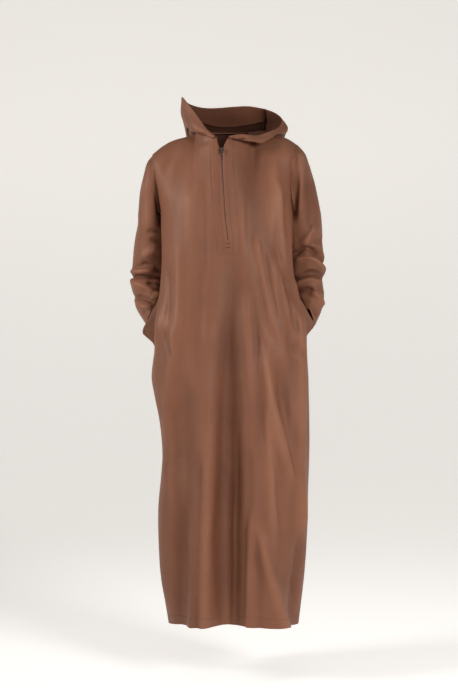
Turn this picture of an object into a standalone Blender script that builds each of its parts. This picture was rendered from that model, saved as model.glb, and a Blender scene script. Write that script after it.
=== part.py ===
"""A hooded thobe in its worn, filled-out form: front and back panels, two sleeves, a hood worn
down, side-seam pockets with their bags, and a short front zip whose pull tab turns.

Metres, +Z up, -Y to the front, +X to the wearer's left. The origin is where the shoulders carry
the garment: between the two shoulder seams, level with the base of the neck.
"""

import math

import bmesh
import bpy
import numpy as np
from mathutils import Matrix, Vector

CLOTH = 0.0016
BAG_CLOTH = 0.0010
SEAM_GAP = 0.0003
LAP_GAP = 0.0006

ARMPIT = -0.190
ZIP_END = -0.265
SLIDER_LEVEL = -0.046
POCKET_TOP = -0.400
POCKET_BOTTOM = -0.530

NECK_CENTRE = (-0.010, -0.006)
NECK_HALF_WIDTH = 0.068
NECK_HALF_DEPTH = 0.075
NECK_LEVEL = 0.010
NECK_BACK_RISE = 0.010
NECK_FRONT_DROP = 0.022
NECK_SHARE = 0.27
CORNER_RIGHT = -165.0
CORNER_LEFT = 171.0
SHOULDER_TIP = {-1: (-0.190, 0.006, -0.044), 1: (0.176, 0.006, -0.021)}
SHOULDER_CROWN = {-1: 0.018, 1: 0.018}
ARMHOLE_SCOOP = {-1: -0.002, 1: 0.014}

SLIT_HALF = 0.0023
FRONT_POWER = 2.3
FRONT_STRIPS = 16
BACK_STRIPS = 24
LIP_REACH = 0.55
UPPER_STRIPS = 8
ARM_SIDES = 2 * UPPER_STRIPS

# Outer sizes of the body below the armpits. right and left are how far it reaches to each side,
# seam is how far back the side seams lie, front and back are the depths at the middle.
BODY = (
    dict(level=-0.190, right=0.168, left=0.162, seam=0.000, front=-0.118, back=0.112, power=1.75),
    dict(level=-0.300, right=0.164, left=0.160, seam=-0.022, front=-0.122, back=0.102, power=1.65),
    dict(level=-0.360, right=0.167, left=0.166, seam=-0.026, front=-0.122, back=0.100, power=1.65),
    dict(level=-0.420, right=0.174, left=0.181, seam=-0.028, front=-0.124, back=0.104, power=1.65),
    dict(level=-0.470, right=0.180, left=0.192, seam=-0.030, front=-0.127, back=0.112, power=1.70),
    dict(level=-0.530, right=0.182, left=0.194, seam=-0.026, front=-0.130, back=0.120, power=1.85),
    dict(level=-0.600, right=0.190, left=0.198, seam=-0.020, front=-0.132, back=0.126, power=2.00),
    dict(level=-0.690, right=0.174, left=0.202, seam=-0.010, front=-0.130, back=0.125, power=2.10),
    dict(level=-0.790, right=0.163, left=0.203, seam=-0.004, front=-0.128, back=0.122, power=2.20),
    dict(level=-0.920, right=0.174, left=0.198, seam=0.000, front=-0.130, back=0.120, power=2.20),
    dict(level=-1.070, right=0.170, left=0.193, seam=0.004, front=-0.133, back=0.122, power=2.20),
    dict(level=-1.215, right=0.149, left=0.177, seam=0.008, front=-0.133, back=0.124, power=2.20),
)

LEVELS = (
    -0.190, -0.228, -0.265, -0.305, -0.340, -0.372, -0.400, -0.420, -0.440, -0.455, -0.468,
    -0.480, -0.492, -0.505, -0.518, -0.530, -0.560, -0.600, -0.645, -0.690, -0.740, -0.790,
    -0.850, -0.920, -0.980, -1.040, -1.100, -1.160, -1.215,
)

# Folds of the body, on its front (-1) or back (1). start, middle and end say how far to the side
# a fold lies at its top, half-way down and at its foot. depth is outwards where positive, and
# spread is half the fold's width.
FOLDS = (
    dict(face=-1, top=-0.24, foot=-1.40, start=0.022, middle=0.008,
         end=0.004, depth=-0.050, spread=0.042, fade=0.80),
    dict(face=-1, top=-0.45, foot=-1.40, start=-0.045, middle=-0.060,
         end=-0.082, depth=0.016, spread=0.026, fade=0.40),
    dict(face=-1, top=-0.52, foot=-1.40, start=-0.110, middle=-0.118,
         end=-0.122, depth=-0.016, spread=0.024, fade=0.30),
    dict(face=-1, top=-0.20, foot=-0.62, start=0.088, middle=0.112,
         end=0.150, depth=0.009, spread=0.015, fade=0.16),
    dict(face=-1, top=-0.24, foot=-0.58, start=0.064, middle=0.092,
         end=0.128, depth=-0.008, spread=0.014, fade=0.14),
    dict(face=-1, top=-0.46, foot=-0.96, start=0.094, middle=0.112,
         end=0.160, depth=0.011, spread=0.018, fade=0.18),
    dict(face=-1, top=-0.52, foot=-0.86, start=0.126, middle=0.134,
         end=0.150, depth=-0.011, spread=0.018, fade=0.16),
    dict(face=-1, top=-0.66, foot=-1.40, start=0.098, middle=0.092,
         end=0.110, depth=0.018, spread=0.024, fade=0.28),
    dict(face=-1, top=-0.98, foot=-1.40, start=0.165, middle=0.165,
         end=0.160, depth=-0.010, spread=0.018, fade=0.16),
    dict(face=-1, top=-0.40, foot=-0.70, start=-0.120, middle=-0.135,
         end=-0.160, depth=0.006, spread=0.016, fade=0.12),
    dict(face=1, top=-0.30, foot=-1.40, start=0.006, middle=-0.002,
         end=-0.008, depth=-0.024, spread=0.034, fade=0.55),
    dict(face=1, top=-0.50, foot=-1.40, start=0.052, middle=0.066,
         end=0.078, depth=0.015, spread=0.024, fade=0.30),
    dict(face=1, top=-0.56, foot=-1.40, start=-0.060, middle=-0.074,
         end=-0.086, depth=0.017, spread=0.026, fade=0.30),
    dict(face=1, top=-0.62, foot=-1.40, start=0.120, middle=0.124,
         end=0.132, depth=-0.013, spread=0.022, fade=0.30),
    dict(face=1, top=-0.66, foot=-1.40, start=-0.122, middle=-0.128,
         end=-0.130, depth=-0.013, spread=0.022, fade=0.30),
    dict(face=1, top=-0.22, foot=-0.52, start=0.080, middle=0.098,
         end=0.122, depth=0.007, spread=0.016, fade=0.12),
    dict(face=1, top=-0.22, foot=-0.52, start=-0.080, middle=-0.098,
         end=-0.122, depth=0.007, spread=0.016, fade=0.12),
)

# How the pocket's lips stand off the side seam, parted as by a wrist that goes in: front_on is how
# far forward the front lip moves and back_on how far back the other does, and right and left
# are how far the back lip flares out on each side.
LIPS = (
    dict(level=-0.400, front_on=0.000, back_on=0.000, right=0.000, left=0.000),
    dict(level=-0.420, front_on=0.012, back_on=0.005, right=0.006, left=0.008),
    dict(level=-0.440, front_on=0.020, back_on=0.010, right=0.015, left=0.014),
    dict(level=-0.455, front_on=0.023, back_on=0.012, right=0.020, left=0.019),
    dict(level=-0.468, front_on=0.025, back_on=0.012, right=0.026, left=0.025),
    dict(level=-0.480, front_on=0.025, back_on=0.012, right=0.031, left=0.017),
    dict(level=-0.492, front_on=0.022, back_on=0.010, right=0.031, left=0.006),
    dict(level=-0.505, front_on=0.014, back_on=0.007, right=0.016, left=0.000),
    dict(level=-0.518, front_on=0.006, back_on=0.003, right=0.003, left=0.000),
    dict(level=-0.530, front_on=0.000, back_on=0.000, right=0.000, left=0.000),
)

# Sleeve sections from below the armpit to the cuff: outer and inner reach on each side, how far
# back the middle lies, half the depth, and how steeply the sleeve runs inwards and forwards.
SLEEVE = (
    dict(level=-0.215, right=0.2280, right_in=0.158, left=0.2340,
         left_in=0.158, rear=0.042, half=0.060, into=0.0, ahead=-0.15),
    dict(level=-0.260, right=0.2350, right_in=0.158, left=0.2380,
         left_in=0.158, rear=0.050, half=0.060, into=0.0, ahead=-0.15),
    dict(level=-0.300, right=0.2400, right_in=0.158, left=0.2430,
         left_in=0.160, rear=0.057, half=0.058, into=0.0, ahead=-0.10),
    dict(level=-0.335, right=0.2430, right_in=0.158, left=0.2440,
         left_in=0.162, rear=0.060, half=0.056, into=0.0, ahead=0.00),
    dict(level=-0.360, right=0.2460, right_in=0.158, left=0.2410,
         left_in=0.164, rear=0.058, half=0.053, into=0.1, ahead=0.10),
    dict(level=-0.385, right=0.2410, right_in=0.160, left=0.2440,
         left_in=0.167, rear=0.052, half=0.049, into=0.4, ahead=0.20),
    dict(level=-0.405, right=0.2370, right_in=0.162, left=0.2440,
         left_in=0.170, rear=0.042, half=0.045, into=0.8, ahead=0.25),
    dict(level=-0.421, right=0.2310, right_in=0.161, left=0.2410,
         left_in=0.171, rear=0.032, half=0.041, into=1.3, ahead=0.35),
    dict(level=-0.434, right=0.2250, right_in=0.159, left=0.2380,
         left_in=0.172, rear=0.024, half=0.038, into=2.0, ahead=0.50),
)
SLEEVE_LEVELS = (
    -0.215, -0.240, -0.265, -0.290, -0.312, -0.326, -0.338, -0.350, -0.364, -0.380, -0.396,
    -0.408, -0.418, -0.426, -0.434,
)
BODY_CLEARANCE = 0.003
CAP_DROP = {-1: -1.2, 1: -0.8}
CAP_RINGS = 5

# Crumples round each elbow. bearing is round the sleeve: 0 outer side, 90 front, 180 inner.
CRUMPLES = (
    dict(side=-1, level=-0.334, bearing=60, reach=95, depth=-0.006, spread=0.008, slope=0.010),
    dict(side=-1, level=-0.350, bearing=20, reach=90, depth=0.005, spread=0.008, slope=0.010),
    dict(side=-1, level=-0.384, bearing=50, reach=70, depth=-0.005, spread=0.008, slope=-0.012),
    dict(side=-1, level=-0.405, bearing=100, reach=60, depth=0.004, spread=0.008, slope=-0.016),
    dict(side=1, level=-0.300, bearing=80, reach=80, depth=-0.005, spread=0.009, slope=0.012),
    dict(side=1, level=-0.322, bearing=20, reach=90, depth=0.005, spread=0.010, slope=0.014),
    dict(side=1, level=-0.352, bearing=60, reach=90, depth=-0.005, spread=0.009, slope=0.012),
    dict(side=1, level=-0.378, bearing=60, reach=70, depth=0.004, spread=0.008, slope=-0.006),
    dict(side=1, level=-0.400, bearing=90, reach=60, depth=-0.004, spread=0.008, slope=-0.010),
)

# The hood worn down, section by section round the neck: 0 behind it, 90 the wearer's left.
# Each section runs from the rim down the outside to the fold and back up inside to the neck
# seam; every pair is the reach from the neck's middle and the rise above the origin.
HOOD = (
    dict(bearing=-165, rim=(0.083, -0.009), out=(0.0875, -0.011),
         fold=(0.0895, -0.014), inner=(0.0870, -0.0130)),
    dict(bearing=-154, rim=(0.083, 0.003), out=(0.0880, -0.001),
         fold=(0.0880, -0.008), inner=(0.0845, -0.0090)),
    dict(bearing=-123, rim=(0.083, 0.050), out=(0.0930, 0.026),
         fold=(0.0860, 0.005), inner=(0.0800, 0.0030)),
    dict(bearing=-90, rim=(0.1050, 0.099), out=(0.1070, 0.058),
         fold=(0.0930, 0.024), inner=(0.0830, 0.0150)),
    dict(bearing=-55, rim=(0.112, 0.094), out=(0.1220, 0.055),
         fold=(0.1140, 0.006), inner=(0.0950, 0.0020)),
    dict(bearing=-27, rim=(0.118, 0.090), out=(0.1500, 0.025),
         fold=(0.1540, -0.090), inner=(0.1250, -0.0450)),
    dict(bearing=0, rim=(0.125, 0.094), out=(0.1720, 0.000),
         fold=(0.1600, -0.190), inner=(0.1300, -0.0900)),
    dict(bearing=24, rim=(0.137, 0.098), out=(0.1820, 0.010),
         fold=(0.1700, -0.165), inner=(0.1350, -0.0780)),
    dict(bearing=44, rim=(0.154, 0.088), out=(0.1880, 0.035),
         fold=(0.1780, -0.065), inner=(0.1400, -0.0300)),
    dict(bearing=68, rim=(0.157, 0.058), out=(0.1720, 0.036),
         fold=(0.1640, 0.008), inner=(0.1250, 0.0120)),
    dict(bearing=86, rim=(0.140, 0.028), out=(0.1570, 0.019),
         fold=(0.1500, 0.009), inner=(0.1100, 0.0170)),
    dict(bearing=105, rim=(0.120, 0.010), out=(0.1330, 0.003),
         fold=(0.1300, -0.001), inner=(0.1020, 0.0080)),
    dict(bearing=123, rim=(0.100, -0.004), out=(0.1150, -0.012),
         fold=(0.1180, -0.021), inner=(0.0980, -0.0100)),
    dict(bearing=148, rim=(0.088, -0.004), out=(0.0950, -0.012),
         fold=(0.1000, -0.021), inner=(0.0910, -0.0150)),
    dict(bearing=171, rim=(0.083, -0.009), out=(0.0880, -0.011),
         fold=(0.0895, -0.014), inner=(0.0870, -0.0130)),
)
HOOD_PARTS = ("rim", "out", "fold", "inner")
HOOD_SHARES = (0.0, 0.25, 0.50, 0.60, 0.80, 1.0)
HOOD_TURN = 0.45
HOOD_RUNS = 20
HOOD_STRIPS = 13
CROWN_SEAM_AT_RIM = 43.0
CROWN_SEAM_AT_NECK = 2.0

TAPE_WIDTH = 0.011
TAPE_CLOTH = 0.0010
CHAIN_HALF = 0.0015
CHAIN_THICK = 0.0014
CHAIN_SUNK = 0.0004
SLIDER_SIZE = (0.0064, 0.0024, 0.0094)
EAR_SIZE = (0.0008, 0.0036, 0.0030)
BAR_RADIUS = 0.0005
BAR_STAND = 0.0021
BAR_RISE = 0.0026
EYE_RADIUS = 0.0009
EYE_WALL = 0.0007
TAB_WIDTH = 0.0030
TAB_LENGTH = 0.0150
TAB_THICK = 0.0012

COLOURS = {
    "cloth": ((0.235, 0.098, 0.055), 0.62, 0.0),
    "tape": ((0.120, 0.050, 0.030), 0.80, 0.0),
    "chain": ((0.090, 0.050, 0.035), 0.45, 0.0),
    "metal": ((0.090, 0.085, 0.080), 0.28, 1.0),
}


def material(name):
    """The Principled material of that finish, made once."""
    made = bpy.data.materials.get(name)
    if made:
        return made
    colour, roughness, metallic = COLOURS[name]
    made = bpy.data.materials.new(name)
    made.use_nodes = True
    shader = made.node_tree.nodes["Principled BSDF"]
    shader.inputs["Base Color"].default_value = (*colour, 1.0)
    shader.inputs["Roughness"].default_value = roughness
    shader.inputs["Metallic"].default_value = metallic
    made.diffuse_color = (*colour, 1.0)
    return made


def smooth_step(share):
    share = min(max(share, 0.0), 1.0)
    return share * share * (3.0 - 2.0 * share)


def mixed(low, high, share):
    return low + (high - low) * share


def through(places, values, place):
    """A smooth curve through values at rising places, read at one place."""
    place = min(max(place, places[0]), places[-1])
    at = min(max(int(np.searchsorted(places, place)) - 1, 0), len(places) - 2)
    span = places[at + 1] - places[at]
    share = (place - places[at]) / span

    def slope(index):
        low = max(index - 1, 0)
        high = min(index + 1, len(places) - 1)
        return (values[high] - values[low]) / (places[high] - places[low]) * span

    square = share * share
    cube = square * share
    return (
        values[at] * (2 * cube - 3 * square + 1)
        + slope(at) * (cube - 2 * square + share)
        + values[at + 1] * (3 * square - 2 * cube)
        + slope(at + 1) * (cube - square)
    )


def read(table, column, level):
    """A column of a table whose levels fall from row to row, smoothed between the rows."""
    places = np.array([-row["level"] for row in table])
    values = [row[column] for row in table]
    return float(through(places, values, -level))


def hermite(start, leave, end, arrive, share):
    """The point at share of the way along a curve with the two given tangents."""
    square = share * share
    cube = square * share
    return (
        np.array(start) * (2 * cube - 3 * square + 1)
        + np.array(leave) * (cube - 2 * square + share)
        + np.array(end) * (3 * square - 2 * cube)
        + np.array(arrive) * (cube - square)
    )


def fold_depth(level, beside, facing):
    """How far all the folds together move a point of the body's surface outwards."""
    total = 0.0
    for fold in FOLDS:
        if not fold["foot"] < level < fold["top"]:
            continue
        way = min((fold["top"] - level) / (fold["top"] - max(fold["foot"], LEVELS[-1])), 1.0)
        centre = through(np.array([0.0, 0.5, 1.0]), [fold["start"], fold["middle"], fold["end"]], way)
        rise = smooth_step((fold["top"] - level) / fold["fade"])
        rise *= smooth_step((level - fold["foot"]) / min(fold["fade"], 0.16))
        rise *= smooth_step(facing * fold["face"] / 0.35)
        total += fold["depth"] * rise * math.exp(-(((beside - centre) / fold["spread"]) ** 2))
    return total


def zip_line(level):
    """How far to the side the zip lies at a level."""
    lean = mixed(-0.004, -0.018, (level - ZIP_END) / (0.0 - ZIP_END))
    return lean * smooth_step((level - ZIP_END) / 0.05)


def slit_half(level):
    """Half the slit's width: parallel below the slider and opening into a V above it."""
    return mixed(SLIT_HALF, 0.0141, max(0.0, (level - SLIDER_LEVEL) / 0.034))


def body_point(level, bearing):
    """A point of the body's outer surface below the armpits: 0 is in front, 90 to the left."""
    angle = math.radians(bearing)
    sine, cosine = math.sin(angle), math.cos(angle)
    right, left = read(BODY, "right", level), read(BODY, "left", level)
    seam = read(BODY, "seam", level)
    depth = seam - read(BODY, "front", level) if cosine >= 0 else read(BODY, "back", level) - seam
    power = FRONT_POWER if cosine >= 0 else read(BODY, "power", level)
    half = (left + right) / 2
    across = (left - right) / 2 + half * math.copysign(abs(sine) ** (2 / power), sine)
    along = -math.copysign(abs(cosine) ** (2 / power), cosine)
    push = fold_depth(level, across, -cosine)
    drawn = zip_line(level) * max(cosine, 0.0) ** 2 * smooth_step((level - ZIP_END) / 0.06)
    lift = 0.014 * max(cosine, 0.0) * smooth_step((-0.9 - level) / 0.3)
    return np.array((across + drawn + push * sine, seam + depth * along - push * cosine, level + lift))


def clear_of_body(place, side):
    """The place itself, or moved to the side until it stands clear of the body."""
    level = place[2]
    if level > ARMPIT:
        return place
    seam = read(BODY, "seam", level)
    is_front = place[1] < seam
    depth = seam - read(BODY, "front", level) if is_front else read(BODY, "back", level) - seam
    power = FRONT_POWER if is_front else read(BODY, "power", level)
    share = abs(place[1] - seam) / depth
    if share >= 1.0:
        return place
    right, left = read(BODY, "right", level), read(BODY, "left", level)
    reach = side * (left - right) / 2 + (left + right) / 2 * (1.0 - share ** power) ** (1 / power)
    return np.array((side * max(side * place[0], reach + BODY_CLEARANCE), place[1], level))


def neckline(bearing):
    """A point of the neck seam: 0 behind the neck, 90 on the wearer's left."""
    angle = math.radians(bearing)
    rise = NECK_BACK_RISE if math.cos(angle) > 0 else NECK_FRONT_DROP
    return np.array((
        NECK_CENTRE[0] + NECK_HALF_WIDTH * math.sin(angle),
        NECK_CENTRE[1] + NECK_HALF_DEPTH * math.cos(angle),
        NECK_LEVEL + rise * math.cos(angle),
    ))


def shoulder_point(side, share):
    """A point of the shoulder seam, from the neck at 0 to its tip at 1."""
    neck = neckline(90.0 * side)
    place = neck + (np.array(SHOULDER_TIP[side]) - neck) * share
    place[2] += SHOULDER_CROWN[side] * share * math.sin(math.pi * share)
    return place


def column_top(side, share, is_front):
    """Where a column of a panel ends: on the neckline near the middle, else on the shoulder."""
    if share >= NECK_SHARE:
        place = shoulder_point(side, (share - NECK_SHARE) / (1 - NECK_SHARE))
        place[1] += -SEAM_GAP / 2 if is_front else SEAM_GAP / 2
        return place
    along = share / NECK_SHARE
    if is_front:
        corner = CORNER_LEFT if side > 0 else CORNER_RIGHT
        return neckline(mixed(corner, 90.0 * side, along))
    return neckline(90.0 * side * along)


def upper_point(bearing, share_up, is_front):
    """A point of a panel above the armpits, at a share of the way up its column."""
    front_bearing = bearing if is_front else 180.0 - bearing
    side = 1 if front_bearing >= 0 else -1
    share = min(abs(front_bearing) / 90.0, 1.0)
    facing = -1.0 if is_front else 1.0
    start = body_point(ARMPIT, bearing)
    end = column_top(side, share, is_front)
    on_shoulder = smooth_step((share - 0.08) / 0.50)
    arrive = mixed(
        np.array((0.0, -0.055 * facing, 0.130)), np.array((0.0, -0.150 * facing, 0.020)), on_shoulder
    )
    leave = np.array((0.0, 0.012 * facing, 0.170))
    leave[0] = arrive[0] = end[0] - start[0]
    place = hermite(start, leave, end, arrive, share_up)
    scoop = math.sin(math.pi * share_up) * smooth_step((share - 0.45) / 0.55)
    place[0] -= side * ARMHOLE_SCOOP[side] * scoop
    place[1] += facing * 0.030 * scoop
    return place


def even_bearings(low, high, count):
    """Bearings between two bearings that lie evenly along the body's outline."""
    trial = np.linspace(low, high, 181)
    line = np.array([body_point(-0.36, bearing)[:2] for bearing in trial])
    walked = np.concatenate([[0.0], np.cumsum(np.linalg.norm(np.diff(line, axis=0), axis=1))])
    return list(np.interp(np.linspace(0.0, walked[-1], count + 1), walked, trial))


def front_bearings():
    """Column bearings of the front panel, the two beside the slit in the middle."""
    right = even_bearings(-89.955, 0.0, FRONT_STRIPS)
    left = even_bearings(0.0, 89.955, FRONT_STRIPS)
    return right[:-1] + [-0.6, 0.6] + left[1:]


def back_bearings():
    return even_bearings(90.045, 269.955, BACK_STRIPS)


def lip_move(level, side, is_front):
    """How a side seam's edge moves at the pocket mouth."""
    if not POCKET_BOTTOM <= level <= POCKET_TOP:
        return np.zeros(3)
    if is_front:
        return np.array((0.0, -read(LIPS, "front_on", level), 0.0))
    out = read(LIPS, "left" if side > 0 else "right", level)
    return np.array((side * out, read(LIPS, "back_on", level), 0.0))


def panel_grid(bearings, is_front):
    """Outer points of a panel, hem first: one row for each level and then the upper rows."""
    rows = [[body_point(level, bearing) for bearing in bearings] for level in reversed(LEVELS)]
    for index in range(1, UPPER_STRIPS + 1):
        rows.append([upper_point(b, index / UPPER_STRIPS, is_front) for b in bearings])
    grid = np.array(rows)
    if is_front:
        middle = len(bearings) // 2
        for row in grid:
            level = row[middle][2]
            row[middle - 1][0] = zip_line(level) - slit_half(level)
            row[middle][0] = zip_line(level) + slit_half(level)
        for column in (middle - 1, middle):
            side = -1 if column < middle else 1
            grid[-1][column] = column_top(side, 0.0, True)
    return grid


def add_lips(grid, bearings, is_front):
    """Parts a panel's side edges from the other panel's where the pocket mouths are."""
    moved = grid.copy()
    for row, level in enumerate(reversed(LEVELS)):
        for column, bearing in enumerate(bearings):
            front_bearing = bearing if is_front else 180.0 - bearing
            side = 1 if front_bearing >= 0 else -1
            near = smooth_step((abs(front_bearing) / 90.0 - LIP_REACH) / (1.0 - LIP_REACH))
            moved[row][column] += lip_move(level, side, is_front) * near
    return moved


def close_seams(grids, rows):
    """Sets the side edges of the two panels one seam gap apart."""
    half = np.array((0.0, SEAM_GAP / 2, 0.0))
    for front_column, back_column in ((-1, 0), (0, -1)):
        for row in range(rows):
            seam = (grids["front"][row][front_column] + grids["back"][row][back_column]) / 2
            grids["front"][row][front_column] = seam - half
            grids["back"][row][back_column] = seam + half


def grid_normals(grid, wrap):
    """Unit normals of a grid of points, columns running round to the wearer's left."""
    if wrap:
        around = np.roll(grid, -1, axis=1) - np.roll(grid, 1, axis=1)
    else:
        around = np.gradient(grid, axis=1)
    up = np.gradient(grid, axis=0)
    normals = np.cross(around, up)
    return normals / np.linalg.norm(normals, axis=2, keepdims=True)


def body_panels():
    """Outer points and outward directions of the front and back panels."""
    bearings = {"front": front_bearings(), "back": back_bearings()}
    plain = {name: panel_grid(row, name == "front") for name, row in bearings.items()}
    low = len(LEVELS)
    close_seams(plain, low)
    ring = np.concatenate([plain["front"][:low], plain["back"][:low]], axis=1)
    ring_normals = grid_normals(ring, wrap=True)
    normals = {name: grid_normals(grid, wrap=False) for name, grid in plain.items()}
    columns = len(bearings["front"])
    normals["front"][:low] = ring_normals[:, :columns]
    normals["back"][:low] = ring_normals[:, columns:]
    for front_column, back_column in ((-1, 0), (0, -1)):
        for row in range(low):
            shared = normals["front"][row][front_column] + normals["back"][row][back_column]
            shared /= np.linalg.norm(shared)
            normals["front"][row][front_column] = shared
            normals["back"][row][back_column] = shared
    for name, row in bearings.items():
        for column, bearing in enumerate(row):
            front_bearing = bearing if name == "front" else 180.0 - bearing
            side = 1 if front_bearing >= 0 else -1
            if abs(front_bearing) / 90.0 >= NECK_SHARE:
                slope = np.array((side * 0.30, 0.0, 0.954))
                normals[name][-1][column] = slope / np.linalg.norm(slope)
    grids = {name: add_lips(plain[name], row, name == "front") for name, row in bearings.items()}
    for name, grid in grids.items():
        turned = grid_normals(grid, wrap=False)
        moved = np.linalg.norm(grid - plain[name], axis=2) > 0.0005
        normals[name][moved] = turned[moved]
    return grids, normals


def add_object(name, mesh, finish, angle=50.0):
    mesh.materials.append(material(finish))
    mesh.shade_smooth()
    mesh.set_sharp_from_angle(angle=math.radians(angle))
    obj = bpy.data.objects.new(name, mesh)
    bpy.context.scene.collection.objects.link(obj)
    return obj


def cloth_wall(name, outer, inner, finish, wrap=False, missing=(), capped=False):
    """A closed wall between two matching grids of points, with rims along its free edges.

    Every rim face is cut along the diagonal from its higher outer corner, so that the rims of
    two pieces that meet at a seam stay parallel. missing holds the (row, column) cells that are
    left open, and capped closes the last row.
    """
    rows, columns = outer.shape[:2]
    mesh = bmesh.new()
    skins = [[[mesh.verts.new(p) for p in row] for row in skin] for skin in (outer, inner)]
    spans = columns if wrap else columns - 1
    cells = [(r, c) for r in range(rows - 1) for c in range(spans) if (r, c) not in missing]
    edges = {}
    for row, column in cells:
        corners = [
            (row, column),
            (row, (column + 1) % columns),
            (row + 1, (column + 1) % columns),
            (row + 1, column),
        ]
        mesh.faces.new([skins[0][r][c] for r, c in corners])
        mesh.faces.new([skins[1][r][c] for r, c in reversed(corners)])
        for index in range(4):
            pair = (corners[index], corners[(index + 1) % 4])
            if pair[::-1] in edges:
                del edges[pair[::-1]]
            else:
                edges[pair] = True
    if capped:
        last = [(rows - 1, c) for c in range(columns)]
        mesh.faces.new([skins[0][r][c] for r, c in last])
        mesh.faces.new([skins[1][r][c] for r, c in reversed(last)])
        edges = {pair: True for pair in edges if pair[0][0] != rows - 1 or pair[1][0] != rows - 1}
    for (r0, c0), (r1, c1) in edges:
        rim = [skins[0][r1][c1], skins[0][r0][c0], skins[1][r0][c0], skins[1][r1][c1]]
        if rim[1].co.z > rim[0].co.z:
            rim = rim[1:] + rim[:1]
        mesh.faces.new(rim)
    loose = [v for v in mesh.verts if not v.link_faces]
    bmesh.ops.delete(mesh, geom=loose, context="VERTS")
    bmesh.ops.recalc_face_normals(mesh, faces=mesh.faces[:])
    data = bpy.data.meshes.new(name)
    mesh.to_mesh(data)
    mesh.free()
    return add_object(name, data, finish)


def make_body(grids, normals):
    """The front panel, slit for its zip, and the back panel."""
    middle = grids["front"].shape[1] // 2
    end_row = len(LEVELS) - 1 - LEVELS.index(ZIP_END)
    rows = grids["front"].shape[0]
    slit = {(row, middle - 1) for row in range(end_row, rows - 1)}
    for name, open_cells in (("front", slit), ("back", set())):
        outer = grids[name]
        inner = outer - normals[name] * CLOTH
        cloth_wall(f"{name}_panel", outer, inner, "cloth", missing=open_cells)


def armhole_loop(grids, normals, side):
    """The armhole's edge from the shoulder tip down the front and up the back, with directions."""
    first = len(LEVELS) - 1
    front_column = -1 if side > 0 else 0
    back_column = 0 if side > 0 else -1
    front = [(grids["front"][r][front_column], normals["front"][r][front_column])
             for r in range(first + UPPER_STRIPS, first - 1, -1)]
    back = [(grids["back"][r][back_column], normals["back"][r][back_column])
            for r in range(first, first + UPPER_STRIPS + 1)]
    loop = front[:-1] + [tuple((np.array(front[-1]) + np.array(back[0])) / 2)] + back[1:-1]
    tip = (np.array(front[0]) + np.array(back[-1])) / 2
    loop[0] = tuple(tip)
    return loop


def sleeve_middle(side, level):
    outer = read(SLEEVE, "left" if side > 0 else "right", level)
    inner = read(SLEEVE, "left_in" if side > 0 else "right_in", level)
    return np.array((side * (outer + inner) / 2, read(SLEEVE, "rear", level), level)), (outer - inner) / 2


def crumple(side, level, bearing):
    total = 0.0
    for row in CRUMPLES:
        if row["side"] != side:
            continue
        apart = (bearing - row["bearing"] + 180.0) % 360.0 - 180.0
        window = smooth_step(1.0 - abs(apart) / row["reach"])
        off = level - row["level"] - row["slope"] * math.sin(math.radians(bearing))
        total += row["depth"] * window * math.exp(-((off / row["spread"]) ** 2))
    return total


def arm_ring(side, level):
    """One section of a sleeve, square to its run, starting on its outer side."""
    middle, half_width = sleeve_middle(side, level)
    run = Vector((-side * read(SLEEVE, "into", level), -read(SLEEVE, "ahead", level), -1.0)).normalized()
    outward = Vector((side, 0.0, 0.0))
    outward = (outward - run * outward.dot(run)).normalized()
    forward = run.cross(outward)
    if forward.y > 0:
        forward = -forward
    half_depth = read(SLEEVE, "half", level)
    ring = []
    for index in range(ARM_SIDES):
        bearing = 360.0 * index / ARM_SIDES
        angle = math.radians(bearing)
        push = crumple(side, level, bearing)
        place = (
            middle
            + np.array(outward) * math.cos(angle) * (half_width + push)
            + np.array(forward) * math.sin(angle) * (half_depth + push)
        )
        ring.append(clear_of_body(place, side))
    return np.array(ring)


def make_sleeve(name, side, grids, normals):
    """A sleeve: its cap grows out of the armhole's edge and its cuff ends at the pocket mouth."""
    loop = armhole_loop(grids, normals, side)
    first = arm_ring(side, SLEEVE_LEVELS[0])
    rings = [[] for _ in range(CAP_RINGS + 1)]
    heights = []
    for k, (edge, _) in enumerate(loop):
        height = (math.cos(2 * math.pi * k / ARM_SIDES) + 1) / 2
        heights.append(height)
        leave = np.array((side, 0.0, mixed(0.10, CAP_DROP[side], height)))
        leave /= np.linalg.norm(leave)
        start = edge + leave * (SEAM_GAP + mixed(0.0011, 0.0002, smooth_step(height * 1.4 - 0.4)))
        chord = np.linalg.norm(first[k] - start)
        arrive = np.array((0.0, 0.08, -1.0)) * chord * 0.8
        for ring in range(CAP_RINGS + 1):
            share = ring / (CAP_RINGS + 1)
            place = hermite(start, leave * chord * mixed(0.8, 0.55, height), first[k], arrive, share)
            rings[ring].append(clear_of_body(place, side) if ring else place)
    rings += [arm_ring(side, level) for level in SLEEVE_LEVELS]
    outer = np.array(rings)
    around = np.roll(outer, -1, axis=1) - np.roll(outer, 1, axis=1)
    directions = np.cross(np.gradient(outer, axis=0), around) * side
    directions /= np.linalg.norm(directions, axis=2, keepdims=True)
    for k, (_, lean) in enumerate(loop):
        share = smooth_step((heights[k] - 0.06) / 0.25)
        shared = directions[0][k] * (1 - share) + lean * share
        directions[0][k] = shared / np.linalg.norm(shared)
    return cloth_wall(name, outer, outer - directions * CLOTH, "cloth", wrap=True)


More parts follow.
